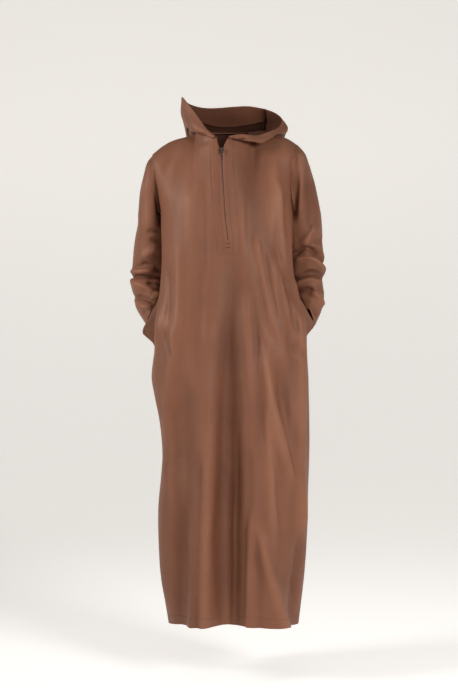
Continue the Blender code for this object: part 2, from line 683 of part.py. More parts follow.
def make_pocket_bag(name, side, grids, normals):
    """The bag behind a pocket mouth: it hangs from the two lips and lies inside the front."""
    top = len(LEVELS) - 1 - LEVELS.index(POCKET_TOP)
    bottom = len(LEVELS) - 1 - LEVELS.index(POCKET_BOTTOM)
    columns = {"front": -1 if side > 0 else 0, "back": 0 if side > 0 else -1}
    inset = CLOTH + SEAM_GAP + 0.0002

    def lip(which, row):
        column = columns[which]
        return grids[which][row][column] - normals[which][row][column] * inset

    mouth = [(lip("front", top) + lip("back", top)) / 2]
    mouth += [lip("front", row) for row in range(top - 1, bottom, -1)]
    mouth += [(lip("front", bottom) + lip("back", bottom)) / 2]
    mouth += [lip("back", row) for row in range(bottom + 1, top)]
    mouth = np.array(mouth)
    count = len(mouth)
    end_middle = np.array((side * 0.100, -0.062, -0.585))
    end_half_height, end_half_thick = 0.046, 0.009
    across = np.array((side * 0.45, -0.89, 0.0))
    into = np.array((-side * 0.060, -0.010, -0.004))
    rings = []
    for ring in range(7):
        share = ring / 6
        row = []
        for k in range(count):
            angle = 2 * math.pi * k / count
            end = (
                end_middle
                + np.array((0.0, 0.0, 1.0)) * end_half_height * math.cos(angle)
                + across * end_half_thick * math.sin(angle)
            )
            row.append(hermite(mouth[k], into, end, (-side * 0.01, -0.01, -0.08), share))
        rings.append(row)
    outer = np.array(rings)
    around = np.roll(outer, -1, axis=1) - np.roll(outer, 1, axis=1)
    directions = np.cross(np.gradient(outer, axis=0), around)
    directions /= np.linalg.norm(directions, axis=2, keepdims=True)
    middles = outer.mean(axis=1, keepdims=True)
    if ((outer - middles) * directions).sum() < 0:
        directions = -directions
    cloth_wall(name, outer, outer - directions * BAG_CLOTH, "tape", wrap=True, capped=True)


def hood_point(bearing, share):
    """A point of the hood's outer side, from the rim at 0 round the fold to the neck seam at 1."""
    places = np.array([float(row["bearing"]) for row in HOOD])
    angle = math.radians(bearing)
    away = np.array((math.sin(angle), math.cos(angle), 0.0))
    section = []
    for part in HOOD_PARTS:
        reach = through(places, [row[part][0] for row in HOOD], bearing)
        rise = through(places, [row[part][1] for row in HOOD], bearing)
        section.append(np.array((NECK_CENTRE[0], 0.0, 0.0)) + away * reach + np.array((0.0, 0.0, rise)))
    turn = mixed(section[2], section[3], HOOD_TURN)
    turn[2] = section[2][2]
    section.insert(3, turn)
    section.append(neckline(bearing) + away * LAP_GAP * 1.4 + np.array((0.0, 0.0, LAP_GAP)))
    return through(np.array(HOOD_SHARES), section, share)


def make_hood_panel(name, start, end, seam_column):
    """Half the hood between two bearings, each given at the rim and at the neck seam."""
    outer, directions = [], []
    for run in range(HOOD_RUNS + 1):
        share = run / HOOD_RUNS
        row, row_directions = [], []
        for strip in range(HOOD_STRIPS + 1):
            low = mixed(start[0], start[1], share)
            high = mixed(end[0], end[1], share)
            bearing = mixed(low, high, strip / HOOD_STRIPS)
            across = hood_point(bearing + 1.0, share) - hood_point(bearing - 1.0, share)
            across /= np.linalg.norm(across)
            lower, upper = max(share - 0.01, 0.0), min(share + 0.01, 1.0)
            along = hood_point(bearing, upper) - hood_point(bearing, lower)
            direction = np.cross(across, along)
            place = hood_point(bearing, share)
            if strip == seam_column:
                place = place + across * (SEAM_GAP / 2 if strip == 0 else -SEAM_GAP / 2)
            row.append(place)
            row_directions.append(direction / np.linalg.norm(direction))
        outer.append(row)
        directions.append(row_directions)
    outer, directions = np.array(outer), np.array(directions)
    return cloth_wall(name, outer, outer - directions * CLOTH, "cloth")


def make_hood():
    """Both halves of the hood, meeting at the crown seam, which is pulled to the wearer's left."""
    crown = (CROWN_SEAM_AT_RIM, CROWN_SEAM_AT_NECK)
    make_hood_panel("hood_right_panel", (CORNER_RIGHT, CORNER_RIGHT), crown, HOOD_STRIPS)
    make_hood_panel("hood_left_panel", crown, (CORNER_LEFT, CORNER_LEFT), 0)


def slit_rows():
    """Rows of the front panel from the zip's end up to the neck."""
    first = len(LEVELS) - 1 - LEVELS.index(ZIP_END)
    return range(first, len(LEVELS) + UPPER_STRIPS)


def make_zip_tape(name, side, grids, normals):
    """A zip tape that lies behind one edge of the slit, made from the panel's own points."""
    middle = grids["front"].shape[1] // 2
    edge, beside = (middle, middle + 1) if side > 0 else (middle - 1, middle - 2)
    outer, inner = [], []
    for row in slit_rows():
        width = np.linalg.norm(grids["front"][row][beside] - grids["front"][row][edge])
        lap = (slit_half(grids["front"][row][edge][2]) - CHAIN_HALF - SEAM_GAP) / width
        places = []
        for step in range(3):
            share = -min(lap, 0.0008 / width) + TAPE_WIDTH * step / 2 / width
            place = mixed(grids["front"][row][edge], grids["front"][row][beside], share)
            lean = mixed(normals["front"][row][edge], normals["front"][row][beside], max(share, 0.0))
            places.append((place, lean / np.linalg.norm(lean)))
        places = places if side > 0 else places[::-1]
        outer.append([place - lean * (CLOTH + LAP_GAP) for place, lean in places])
        inner.append([place - lean * (CLOTH + LAP_GAP + TAPE_CLOTH) for place, lean in places])
    cloth_wall(name, np.array(outer[:-1]), np.array(inner[:-1]), "tape")


def zip_place(grids, normals, level):
    """The middle of the slit at a level, and the way the panel faces there."""
    middle = grids["front"].shape[1] // 2
    places = (grids["front"][:, middle] + grids["front"][:, middle - 1]) / 2
    leans = (normals["front"][:, middle] + normals["front"][:, middle - 1]) / 2
    place = np.array([np.interp(level, places[:, 2], places[:, axis]) for axis in range(3)])
    lean = np.array([np.interp(level, places[:, 2], leans[:, axis]) for axis in range(3)])
    lean[0] = 0.0
    return place, lean / np.linalg.norm(lean)


def make_zip_chain(grids, normals):
    """The closed run of teeth between the tapes, from the zip's end up to the slider."""
    middle = grids["front"].shape[1] // 2
    levels = [grids["front"][row][middle][2] for row in slit_rows()]
    levels = [level for level in levels if level < SLIDER_LEVEL - 0.008]
    levels = [levels[0] + 0.001] + levels[1:] + [SLIDER_LEVEL - 0.001]
    outer, inner = [], []
    for level in levels:
        place, lean = zip_place(grids, normals, level)
        across = [np.array((offset, 0.0, 0.0)) for offset in (-CHAIN_HALF, 0.0, CHAIN_HALF)]
        outer.append([place + step - lean * CHAIN_SUNK for step in across])
        inner.append([place + step - lean * (CHAIN_SUNK + CHAIN_THICK) for step in across])
    cloth_wall("zip_chain", np.array(outer), np.array(inner), "chain")


def boxed(mesh, size, place):
    made = bmesh.ops.create_cube(mesh, size=1.0)["verts"]
    bmesh.ops.scale(mesh, vec=size, verts=made)
    bmesh.ops.translate(mesh, vec=place, verts=made)
    return made


def make_slider(seat, tilt):
    """The slider's body with two ears and the bar that the pull tab turns on."""
    mesh = bmesh.new()
    boxed(mesh, SLIDER_SIZE, Vector((0.0, -SLIDER_SIZE[1] / 2, 0.0)))
    bmesh.ops.bevel(
        mesh, geom=mesh.edges[:], offset=0.0006, offset_type="OFFSET", segments=2, profile=0.5,
        affect="EDGES", clamp_overlap=True, material=-1,
    )
    data = bpy.data.meshes.new("zip_slider")
    mesh.to_mesh(data)
    mesh.free()
    slider = add_object("zip_slider", data, "metal", 40.0)
    slider.location = seat
    slider.rotation_euler = (tilt, 0.0, 0.0)
    reach = TAB_WIDTH / 2 + 0.0003
    front = -SLIDER_SIZE[1]
    parts = bmesh.new()
    for side in (-1, 1):
        middle = side * (reach + EAR_SIZE[0] / 2)
        boxed(parts, EAR_SIZE, Vector((middle, front - EAR_SIZE[1] / 2 + 0.0005, BAR_RISE)))
    add_helper(slider, parts, "slider_ears")
    bar = bmesh.new()
    made = bmesh.ops.create_cone(
        bar, cap_ends=True, segments=12, radius1=BAR_RADIUS, radius2=BAR_RADIUS,
        depth=2 * reach + EAR_SIZE[0],
    )["verts"]
    bmesh.ops.rotate(bar, verts=made, cent=(0, 0, 0), matrix=Matrix.Rotation(math.radians(90.0), 3, "Y"))
    bmesh.ops.translate(bar, verts=made, vec=Vector((0.0, front - BAR_STAND, BAR_RISE)))
    add_helper(slider, bar, "slider_bar")
    slider_turn = Matrix.Rotation(tilt, 3, "X")
    return Vector(seat) + slider_turn @ Vector((0.0, front - BAR_STAND, BAR_RISE))


def add_helper(target, mesh, name):
    """Joins a shape to an object with a Boolean union, through a helper that isn't part of it."""
    data = bpy.data.meshes.new(name)
    mesh.to_mesh(data)
    mesh.free()
    helper = bpy.data.objects.new(name, data)
    helper.hide_render = True
    helper.display_type = "WIRE"
    helper.parent = target
    bpy.context.scene.collection.objects.link(helper)
    union = target.modifiers.new(name, "BOOLEAN")
    union.operation = "UNION"
    union.solver = "EXACT"
    union.object = helper


def make_pull_tab(pivot, tilt):
    """The pull tab: an eye round the slider's bar and a tongue that hangs from it."""
    mesh = bmesh.new()
    outer_radius = EYE_RADIUS + EYE_WALL
    half = TAB_THICK / 2
    opening = math.asin(half / outer_radius)
    sides = 14
    sweep = 2 * math.pi - 2 * opening
    outline = []
    for index in range(sides + 1):
        angle = -math.pi / 2 + opening + sweep * index / sides
        outline.append((outer_radius * math.cos(angle), outer_radius * math.sin(angle)))
    outline += [(-half, -TAB_LENGTH + half), (0.0, -TAB_LENGTH), (half, -TAB_LENGTH + half)]
    hole = []
    for index in range(len(outline)):
        share = min(index / sides, 1.0) if index <= sides else 1.0
        angle = -math.pi / 2 + opening + sweep * share
        if index > sides:
            angle += 2 * opening * (index - sides) / (len(outline) - sides)
        hole.append((EYE_RADIUS * math.cos(angle), EYE_RADIUS * math.sin(angle)))
    rows = []
    for x in (-TAB_WIDTH / 2, TAB_WIDTH / 2):
        outside = [mesh.verts.new((x, y, z)) for y, z in outline]
        inside = [mesh.verts.new((x, y, z)) for y, z in hole]
        rows.append((outside, inside))
    count = len(outline)
    for k in range(count):
        n = (k + 1) % count
        for (outside, inside) in rows:
            mesh.faces.new([outside[k], outside[n], inside[n], inside[k]])
        for left, right in zip(rows[0], rows[1]):
            mesh.faces.new([left[k], left[n], right[n], right[k]])
    bmesh.ops.recalc_face_normals(mesh, faces=mesh.faces[:])
    data = bpy.data.meshes.new("zip_pull_tab")
    mesh.to_mesh(data)
    mesh.free()
    tab = add_object("zip_pull_tab", data, "metal", 35.0)
    tab.location = pivot
    tab.rotation_euler = (tilt, 0.0, 0.0)


def make_zip(grids, normals):
    """Tapes, chain, slider and pull tab, the last two leaning with the chest."""
    make_zip_tape("zip_tape_right", -1, grids, normals)
    make_zip_tape("zip_tape_left", 1, grids, normals)
    make_zip_chain(grids, normals)
    place, lean = zip_place(grids, normals, SLIDER_LEVEL)
    tilt = -math.asin(lean[2])
    pivot = make_slider(place + lean * 0.0008, tilt)
    make_pull_tab(pivot, tilt)


def main():
    for obj in list(bpy.data.objects):
        bpy.data.objects.remove(obj)
    grids, normals = body_panels()
    make_body(grids, normals)
    for name, side in (("right", -1), ("left", 1)):
        make_sleeve(f"sleeve_{name}", side, grids, normals)
        make_pocket_bag(f"pocket_bag_{name}", side, grids, normals)
    make_hood()
    make_zip(grids, normals)


main()
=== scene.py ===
"""The looks of a hooded thobe: cloth shells with their folds, hems and stitching, the zip's teeth
and metal, and a plain studio round it.

Metres, +Z up, -Y to the front, +X to the wearer's left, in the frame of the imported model.
"""

import math

import bmesh
import bpy
import numpy as np
from bpy.props import FloatProperty, FloatVectorProperty, PointerProperty
from bpy.types import Operator, Panel, PropertyGroup
from mathutils import Matrix, Vector, noise


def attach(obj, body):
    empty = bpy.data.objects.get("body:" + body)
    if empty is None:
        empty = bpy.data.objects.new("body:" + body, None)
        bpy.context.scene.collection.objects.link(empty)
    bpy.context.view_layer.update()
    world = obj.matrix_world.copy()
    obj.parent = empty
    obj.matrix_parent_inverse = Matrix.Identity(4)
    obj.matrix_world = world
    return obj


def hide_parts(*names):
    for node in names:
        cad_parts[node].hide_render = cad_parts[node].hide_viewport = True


bl_info = {
    "name": "Hooded Thobe",
    "version": (1, 0, 0),
    "blender": (4, 5, 0),
    "location": "3D View > Sidebar > Thobe",
    "description": "Dresses the hooded thobe in its cloth, stitching and zip",
    "category": "Object",
}

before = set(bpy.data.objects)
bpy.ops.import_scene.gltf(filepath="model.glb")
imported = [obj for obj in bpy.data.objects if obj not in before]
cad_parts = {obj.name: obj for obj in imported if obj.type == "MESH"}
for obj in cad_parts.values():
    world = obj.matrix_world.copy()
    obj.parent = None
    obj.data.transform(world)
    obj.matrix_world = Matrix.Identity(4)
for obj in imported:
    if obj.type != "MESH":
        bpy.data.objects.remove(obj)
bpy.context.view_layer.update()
GARMENT = "garment"

# Thickness of a cloth node's wall, by which its two skins are told apart
WALL = 0.0016

# Where each cloth node's first row of points starts and ends, seen from outside. A sleeve's rows
# run all round it, so it has only the place on its cuff where its underarm seam starts.
FIRST_ROWS = {
    "front_panel": ((-0.1490, 0.0080, -1.2150), (0.1770, 0.0080, -1.2150)),
    "back_panel": ((0.1770, 0.0080, -1.2150), (-0.1490, 0.0080, -1.2150)),
    "hood_right_panel": ((-0.0315, -0.0802, -0.0090), (0.0940, 0.1120, 0.0885)),
    "hood_left_panel": ((0.0945, 0.1115, 0.0885), (0.0030, -0.0820, -0.0090)),
    "sleeve_right": ((-0.1590, 0.0240, -0.4340), None),
    "sleeve_left": ((0.1720, 0.0240, -0.4340), None),
}

HEM_TURN = 0.0011
SEAM_ROUND = 0.0010
SEAM_ALLOWANCE = 0.0060

# Places just inside a piece's edges that need a line of points, from its start and from its end
NEAR_EDGE = (0.0010, 0.0024)
FAR_EDGE = (-0.0010, -0.0024)

# How finely each kind of piece is meshed beside the mesh step, up it and across it
FINENESS = {"panel": (1.3, 0.65), "sleeve": (0.55, 0.55), "hood": (0.6, 0.6)}

# Small waves in each kind of piece: how long, how deep, and the place in the noise they start from
WAVES = {
    "panel": ((0.055, 0.0026, 3.0), (0.022, 0.0007, 8.0)),
    "sleeve": ((0.030, 0.0018, 5.0), (0.014, 0.0005, 9.0)),
    "hood": ((0.035, 0.0016, 11.0),),
}

# Lines of points across a turned hem: next to its edge, and beside its stitching
HEM_LINES = (0.0006, 0.0014, 0.0030)
BESIDE_STITCHING = (-0.0020, -0.0008, 0.0, 0.0008, 0.0022)

# The groove that a hem's stitching presses in: its depth and half its width
HEM_GROOVE = (0.0005, 0.0012)

# How deep a crease's trough is where the painted shade reaches the darkest tone, and how high its ridge is
# where the painted highlight reaches the lightest
FOLD_SHADE_DEPTH = 0.012

# How far each cuff's front is drawn down and its inner side to the body, over what length of the
# sleeve, and how many of its rows tell which way is down
CUFF_REACH = {-1: (0.0115, 0.007, 0.055), 1: (0.0155, 0.009, 0.055)}
CUFF_ROWS = 8

SLIT_COLUMNS = (16, 17)
SLIT_END = -0.265

# The placket: half its width, its foot, and each line pressed in by its stitching (how far off the
# zip and how deep)
PLACKET_HALF = 0.0275
PLACKET_END = -0.300
PLACKET_LINES = ((0.0275, 0.0013), (0.0205, 0.0007), (0.0115, 0.0009))
LINE_HALF = 0.0015
FOOT_DEPTH = 0.0008

# The placket's lines of stitching: how far off the zip, and from what height down to its foot
PLACKET_STITCHES = ((0.0275, -0.030), (-0.0275, -0.030), (0.0115, -0.050), (-0.0115, -0.050))

# The creases: three places each runs through (to the side and height, in millimetres), how far it
# stands out of the cloth (in tenths of a millimetre, a trough where negative), half its width on
# its right and its left as it runs (in millimetres), and over what share of its length it fades at
# each end (in hundredths).
FRONT_CREASES = (
    # the skirt: the broad valley down the middle and the folds beside it
    (18, -250, -2, -700, -28, -1450, -80, 22, 26, 28),
    (14, -640, 13, -960, 10, -1500, 30, 14, 7, 26),
    (48, -660, 50, -1000, 48, -1480, -20, 10, 9, 26),
    (178, -430, 178, -740, 182, -1040, 75, 12, 12, 16),
    (-124, -640, -127, -800, -122, -940, -32, 14, 16, 35),
    (-36, -560, -52, -960, -66, -1500, 52, 20, 18, 30),
    (-62, -760, -70, -1020, -80, -1500, -62, 20, 4, 22),
    (53, -900, 49, -1090, 42, -1420, 60, 4, 18, 30),
    (68, -960, 72, -1100, 82, -1400, -22, 11, 11, 30),
    (74, -930, 108, -1095, 172, -1310, 92, 15, 9, 26),
    (142, -770, 152, -812, 160, -850, 26, 4, 3, 32),
    (178, -940, 168, -1060, 148, -1200, -50, 10, 12, 30),
    (156, -1070, 163, -1110, 168, -1160, -25, 4, 4, 35),
    (-112, -840, -118, -1080, -122, -1500, -50, 22, 18, 28),
    # the hips
    (90, -500, 108, -670, 166, -880, 85, 13, 9, 25),
    (118, -540, 131, -640, 152, -760, -24, 9, 12, 38),
    (92, -620, 101, -820, 112, -1060, 66, 10, 11, 28),
    (70, -440, 74, -620, 78, -820, -35, 14, 10, 35),
    (152, -516, 168, -530, 186, -548, -30, 4, 4, 30),
    (148, -536, 164, -552, 182, -575, 20, 5, 5, 35),
    (-112, -520, -106, -690, -88, -880, -22, 22, 16, 35),
    (-150, -590, -151, -680, -148, -780, 35, 8, 8, 35),
    (-128, -793, -108, -795, -86, -804, -12, 2, 2, 30),
    (-66, -800, -67, -825, -66, -850, -12, 2, 2, 30),
    (-158, -480, -148, -520, -140, -556, -25, 4, 4, 30),
    (-140, -470, -134, -520, -124, -580, 20, 5, 6, 35),
    # the torso, drawn from the arms to the pockets
    (76, -200, 124, -325, 188, -456, -32, 10, 12, 28),
    (84, -260, 107, -410, 152, -530, -30, 9, 12, 30),
    (133, -300, 152, -425, 178, -510, -35, 6, 8, 30),
    (158, -350, 168, -390, 177, -432, 30, 4, 6, 30),
    (56, -330, 68, -480, 92, -600, -30, 10, 12, 35),
    (98, -230, 130, -370, 168, -490, 30, 8, 8, 30),
    (-150, -300, -146, -390, -152, -480, -30, 6, 8, 30),
    (-128, -240, -120, -380, -128, -520, 30, 10, 10, 35),
    (-70, -280, -66, -430, -74, -600, -25, 14, 12, 35),
    # the chest, in soft upright bands beside the zip
    (-88, -50, -92, -170, -94, -330, 18, 16, 22, 35),
    (-106, -20, -126, -60, -148, -130, 25, 10, 12, 35),
    (-52, -90, -56, -210, -52, -400, -30, 12, 12, 30),
    (50, -20, 56, -150, 54, -360, -40, 26, 22, 30),
    (112, -30, 114, -140, 106, -290, 50, 16, 16, 30),
    (120, -110, 128, -220, 142, -400, 58, 9, 9, 26),
    (66, -240, 88, -360, 122, -520, 62, 9, 8, 26),
    (40, -380, 50, -520, 60, -720, 35, 10, 12, 35),
    (34, -120, 36, -220, 38, -340, 20, 8, 10, 35),
    (146, -130, 140, -200, 146, -280, -30, 8, 7, 35),
    (-40, -12, -58, -22, -78, -18, -25, 4, 5, 30),
)
BACK_CREASES = (
    (-70, -120, -80, -400, -60, -800, -60, 16, 20, 30),
    (50, -150, 62, -500, 50, -900, -60, 20, 16, 30),
    (0, -420, 12, -850, 0, -1480, -90, 22, 18, 30),
    (-50, -650, -60, -1000, -85, -1480, 70, 16, 14, 28),
    (60, -600, 78, -980, 100, -1450, 70, 13, 18, 28),
    (-110, -720, -118, -1000, -135, -1420, -50, 12, 14, 30),
    (125, -560, 120, -800, 140, -1100, -50, 13, 10, 30),
    (20, -900, 32, -1080, 40, -1420, 50, 6, 14, 30),
    (-146, -280, -128, -420, -100, -560, -40, 9, 9, 35),
    (152, -260, 137, -400, 116, -540, -45, 9, 9, 35),
    (-20, -220, -28, -330, -20, -500, 35, 18, 16, 35),
    (155, -1000, 160, -1100, 172, -1350, 50, 8, 12, 30),
    (-150, -560, -146, -640, -150, -760, 35, 9, 9, 35),
    (90, -300, 98, -420, 90, -560, 35, 12, 10, 35),
)

# The sleeves' creases, for the side that faces the front and then for the rest
SLEEVE_CREASES = {
    -1: ((
        (-256, -345, -205, -349, -150, -354, -85, 6, 5, 10),
        (-254, -335, -212, -337, -178, -324, 55, 5, 9, 15),
        (-208, -363, -185, -367, -158, -374, -45, 4, 4, 25),
        (-244, -361, -212, -372, -184, -389, 55, 8, 6, 20),
        (-246, -399, -210, -401, -184, -406, -65, 5, 5, 18),
        (-190, -381, -178, -392, -165, -386, 40, 4, 4, 30),
        (-208, -244, -186, -236, -168, -238, -35, 6, 6, 30),
        (-200, -256, -182, -260, -164, -261, -35, 5, 6, 30),
        (-226, -302, -196, -290, -166, -266, 45, 10, 10, 30),
        (-224, -317, -195, -322, -162, -340, -45, 8, 6, 25),
        (-236, -416, -207, -420, -180, -412, 45, 6, 6, 25),
        (-222, -437, -197, -432, -178, -424, -35, 4, 5, 25),
        (-194, -45, -181, -110, -165, -180, -36, 3, 6, 15),
        (-176, -130, -174, -180, -164, -220, -30, 5, 6, 30),
        (-200, -90, -198, -170, -206, -260, 50, 12, 14, 30),
        (-166, -215, -170, -330, -192, -470, 50, 12, 12, 12),
    ), (
        (-166, -215, -170, -330, -192, -470, 50, 12, 12, 12),
        (-256, -345, -215, -358, -170, -352, -85, 6, 6, 12),
        (-250, -325, -210, -332, -175, -340, 50, 8, 7, 25),
        (-245, -399, -215, -392, -180, -398, -55, 6, 5, 20),
        (-240, -300, -205, -288, -170, -300, -45, 7, 9, 30),
        (-220, -140, -222, -210, -212, -280, -40, 10, 12, 35),
        (-190, -200, -185, -260, -180, -310, 40, 9, 11, 35),
        (-235, -418, -210, -425, -185, -418, 40, 6, 6, 25),
    )),
    1: ((
        (164, -298, 203, -283, 256, -322, -95, 6, 9, 12),
        (170, -313, 205, -302, 254, -338, 55, 8, 5, 18),
        (162, -363, 202, -341, 248, -351, -75, 6, 7, 15),
        (170, -373, 200, -357, 242, -367, 45, 6, 5, 20),
        (172, -384, 195, -379, 218, -384, -55, 4, 5, 25),
        (202, -383, 226, -400, 238, -428, 65, 6, 8, 25),
        (212, -408, 222, -425, 227, -442, -55, 5, 5, 25),
        (196, -412, 207, -430, 215, -456, 45, 5, 5, 25),
        (186, -396, 191, -418, 200, -440, -45, 5, 4, 25),
        (224, -212, 205, -245, 176, -282, 55, 10, 12, 30),
        (240, -246, 222, -262, 196, -274, -35, 7, 7, 30),
        (174, -30, 180, -110, 177, -230, 50, 6, 7, 22),
        (198, -70, 208, -170, 202, -290, -62, 18, 16, 28),
        (164, -150, 162, -200, 166, -250, 35, 6, 6, 30),
        (232, -290, 244, -300, 250, -310, 40, 6, 7, 20),
        (164, -190, 170, -330, 196, -470, 50, 12, 12, 10),
    ), (
        (164, -190, 170, -330, 196, -470, 50, 12, 12, 10),
        (170, -300, 210, -312, 256, -322, -90, 7, 8, 14),
        (175, -352, 210, -362, 248, -351, -65, 6, 6, 18),
        (180, -330, 215, -338, 250, -336, 50, 7, 6, 25),
        (185, -390, 210, -396, 236, -400, -45, 5, 6, 25),
        (190, -120, 205, -190, 200, -260, -40, 11, 10, 35),
        (215, -160, 228, -220, 225, -280, 40, 10, 10, 35),
        (182, -416, 205, -424, 228, -430, 40, 6, 6, 25),
    )),
}

# The hood's creases, for what faces the front and then for the rest
HOOD_CREASES = (
    (
        (-110, 0, -75, -3, -45, -12, -35, 4, 5, 30),
        (-98, 40, -80, 10, -52, -2, 30, 7, 7, 35),
        (-112, 70, -104, 40, -88, 18, -25, 6, 7, 35),
        (30, -4, 66, 0, 108, 16, 30, 5, 6, 30),
        (50, 10, 80, 14, 112, 30, -25, 5, 5, 30),
        (120, 10, 130, 30, 136, 56, -30, 6, 6, 30),
        (-60, 20, 0, 12, 70, 18, -30, 6, 6, 30),
    ),
    (
        (-100, 30, -20, -60, 70, 20, -60, 10, 12, 25),
        (-110, -10, -15, -110, 90, -20, -55, 10, 10, 25),
        (-80, -60, 0, -150, 80, -80, 45, 12, 10, 30),
        (-60, 60, -40, 0, -10, -50, 40, 10, 9, 35),
        (110, 50, 80, -20, 50, -70, 45, 9, 10, 35),
        (-30, -120, -45, -160, -35, -200, -30, 8, 8, 35),
        (60, -110, 66, -150, 50, -185, -30, 8, 8, 35),
    ),
)

# The zip's line, by height and place to the side, as far as the foot of the placket
ZIP_LINE = (
    (-0.300, 0.0000), (-0.265, 0.0000), (-0.228, -0.0050), (-0.190, -0.0080), (-0.049, -0.0154),
)
ZIP_PINCH = 0.0016
PINCH_TOP = -0.060
BAR_TACKS = (-0.2748, -0.2845)
BAR_TACK_HALF = 0.0058

# A tooth of the zip: half its size across, along and through the zip, and how far it is off centre
TOOTH = (0.00100, 0.00052, 0.00060)
TOOTH_OFF = 0.00045
TAPE_BACK = (0.0, 0.0014, -0.0002)

# The waves in the pocket bags: their size and how far they stand out
BAG_WAVE = (0.018, 0.0022)

# Length of one band of a wave texture at scale 1
BAND_LENGTH = 0.314

# Points of a CAD mesh closer than this are one point
SAME_PLACE = 0.00002

# The lamps: place, what each is aimed at, size, share of the light and spread in degrees
LAMPS = {
    "front light": ((1.9, -2.7, 0.4), (0.0, 0.0, -0.80), 1.1, 0.85, 110),
    "side light": ((-2.9, -1.2, 0.8), (-0.15, 0.0, -0.15), 1.0, 0.38, 70),
    "top light": ((0.2, -0.4, 2.4), (0.0, 0.0, -0.3), 1.8, 0.15, 160),
}
WORLD_COLOUR = (1.0, 0.985, 0.965, 1.0)
WORLD_STRENGTH = 0.15

# The backdrop: how far forward it starts, its length, where it bends, with what radius, half its width
PAPER_START = -6.0
PAPER_LENGTH = 14.0
PAPER_BEND = 3.5
PAPER_RADIUS = 2.0
PAPER_HALF = 9.0


def smooth_step(share):
    share = np.clip(share, 0.0, 1.0)
    return share * share * (3.0 - 2.0 * share)


def unit(vectors):
    return vectors / np.maximum(np.linalg.norm(vectors, axis=-1, keepdims=True), 1e-12)


def nearest(places, wanted):
    return int(np.argmin(np.abs(places - wanted)))


def node_mesh(node):
    """A CAD node's mesh, its points merged."""
    mesh = bmesh.new()
    mesh.from_mesh(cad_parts[node].data)
    bmesh.ops.remove_doubles(mesh, verts=mesh.verts[:], dist=SAME_PLACE)
    return mesh


def in_quads(node, degrees, cuts):
    """A CAD node's mesh with its triangles joined to quads and those divided."""
    mesh = node_mesh(node)
    bmesh.ops.join_triangles(
        mesh, faces=mesh.faces[:], angle_face_threshold=math.radians(degrees),
        angle_shape_threshold=math.radians(60.0),
    )
    bmesh.ops.subdivide_edges(mesh, edges=mesh.edges[:], cuts=cuts, use_grid_fill=True)
    return mesh


def shared_edge(first, second):
    return next((edge for edge in first.link_edges if edge.other_vert(first) == second), None)


def third_corner(face, edge):
    return next(vertex for vertex in face.verts if vertex not in edge.verts)


def fresh_face(edge, used):
    return next((face for face in edge.link_faces if face not in used), None) if edge else None


def outer_skin(node):
    """The outer skin of a cloth node, without the inner skin and the rims between them."""
    mesh = node_mesh(node)
    rims = [f for f in mesh.faces if any(abs(e.calc_length() - WALL) < 0.0000005 for e in f.edges)]
    bmesh.ops.delete(mesh, geom=rims, context="FACES")
    skins, seen = [], set()
    for start in mesh.faces:
        if start in seen:
            continue
        skin, waiting = [], [start]
        seen.add(start)
        while waiting:
            face = waiting.pop()
            skin.append(face)
            beside = {other for edge in face.edges for other in edge.link_faces} - seen
            seen |= beside
            waiting += beside
        skins.append(skin)
    skins.sort(key=lambda skin: sum(face.calc_area() for face in skin))
    bmesh.ops.delete(mesh, geom=[face for skin in skins[:-1] for face in skin], context="FACES")
    return mesh


def first_row(mesh, start, end):
    """The boundary points from one corner to another, or the whole loop where there is no end."""
    edge_points = [v for v in mesh.verts if any(e.is_boundary for e in v.link_edges)]
    corner = min(edge_points, key=lambda v: (v.co - Vector(start)).length)
    goal = end and min(edge_points, key=lambda v: (v.co - Vector(end)).length)
    paths = []
    for edge in [e for e in corner.link_edges if e.is_boundary]:
        path = [corner, edge.other_vert(corner)]
        while path[-1] not in (goal, corner):
            path.append(next(
                e.other_vert(path[-1]) for e in path[-1].link_edges
                if e.is_boundary and e.other_vert(path[-1]) != path[-2]
            ))
        paths.append(path)
    path = min(paths, key=len)
    return path if goal else path[:-1]


def next_point(below, beyond, above, used):
    """The point above `beyond`, across the cell whose other upper point is `above`."""
    face = fresh_face(shared_edge(below, beyond), used)
    if face is None:
        return None
    used.add(face)
    corner = third_corner(face, shared_edge(below, beyond))
    edge = shared_edge(above, beyond) if corner == above else shared_edge(below, corner)
    second = fresh_face(edge, used)
    used.add(second)
    return third_corner(second, edge) if corner == above else corner


def straight_above(rows, index):
    """The point most squarely above one of the last row, and by how much it beats the next best."""
    row = rows[-1]
    here = row[index]
    known = set(row) | set(rows[-2] if len(rows) > 1 else ())
    others = [edge.other_vert(here) for edge in here.link_edges]
    ways = [((other.co - here.co).normalized(), other) for other in others if other not in known]
    if len(rows) > 1:
        run = (here.co - rows[-2][index].co).normalized()
        ranked = sorted(((way.dot(run), other) for way, other in ways), key=lambda pair: -pair[0])
    else:
        run = (row[(index + 1) % len(row)].co - row[index - 1].co).normalized()
        ranked = sorted(((-abs(way.dot(run)), other) for way, other in ways), key=lambda pair: -pair[0])
    if not ranked:
        return -1.0, None
    return (ranked[0][0] - ranked[1][0] if len(ranked) > 1 else 2.0), ranked[0][1]


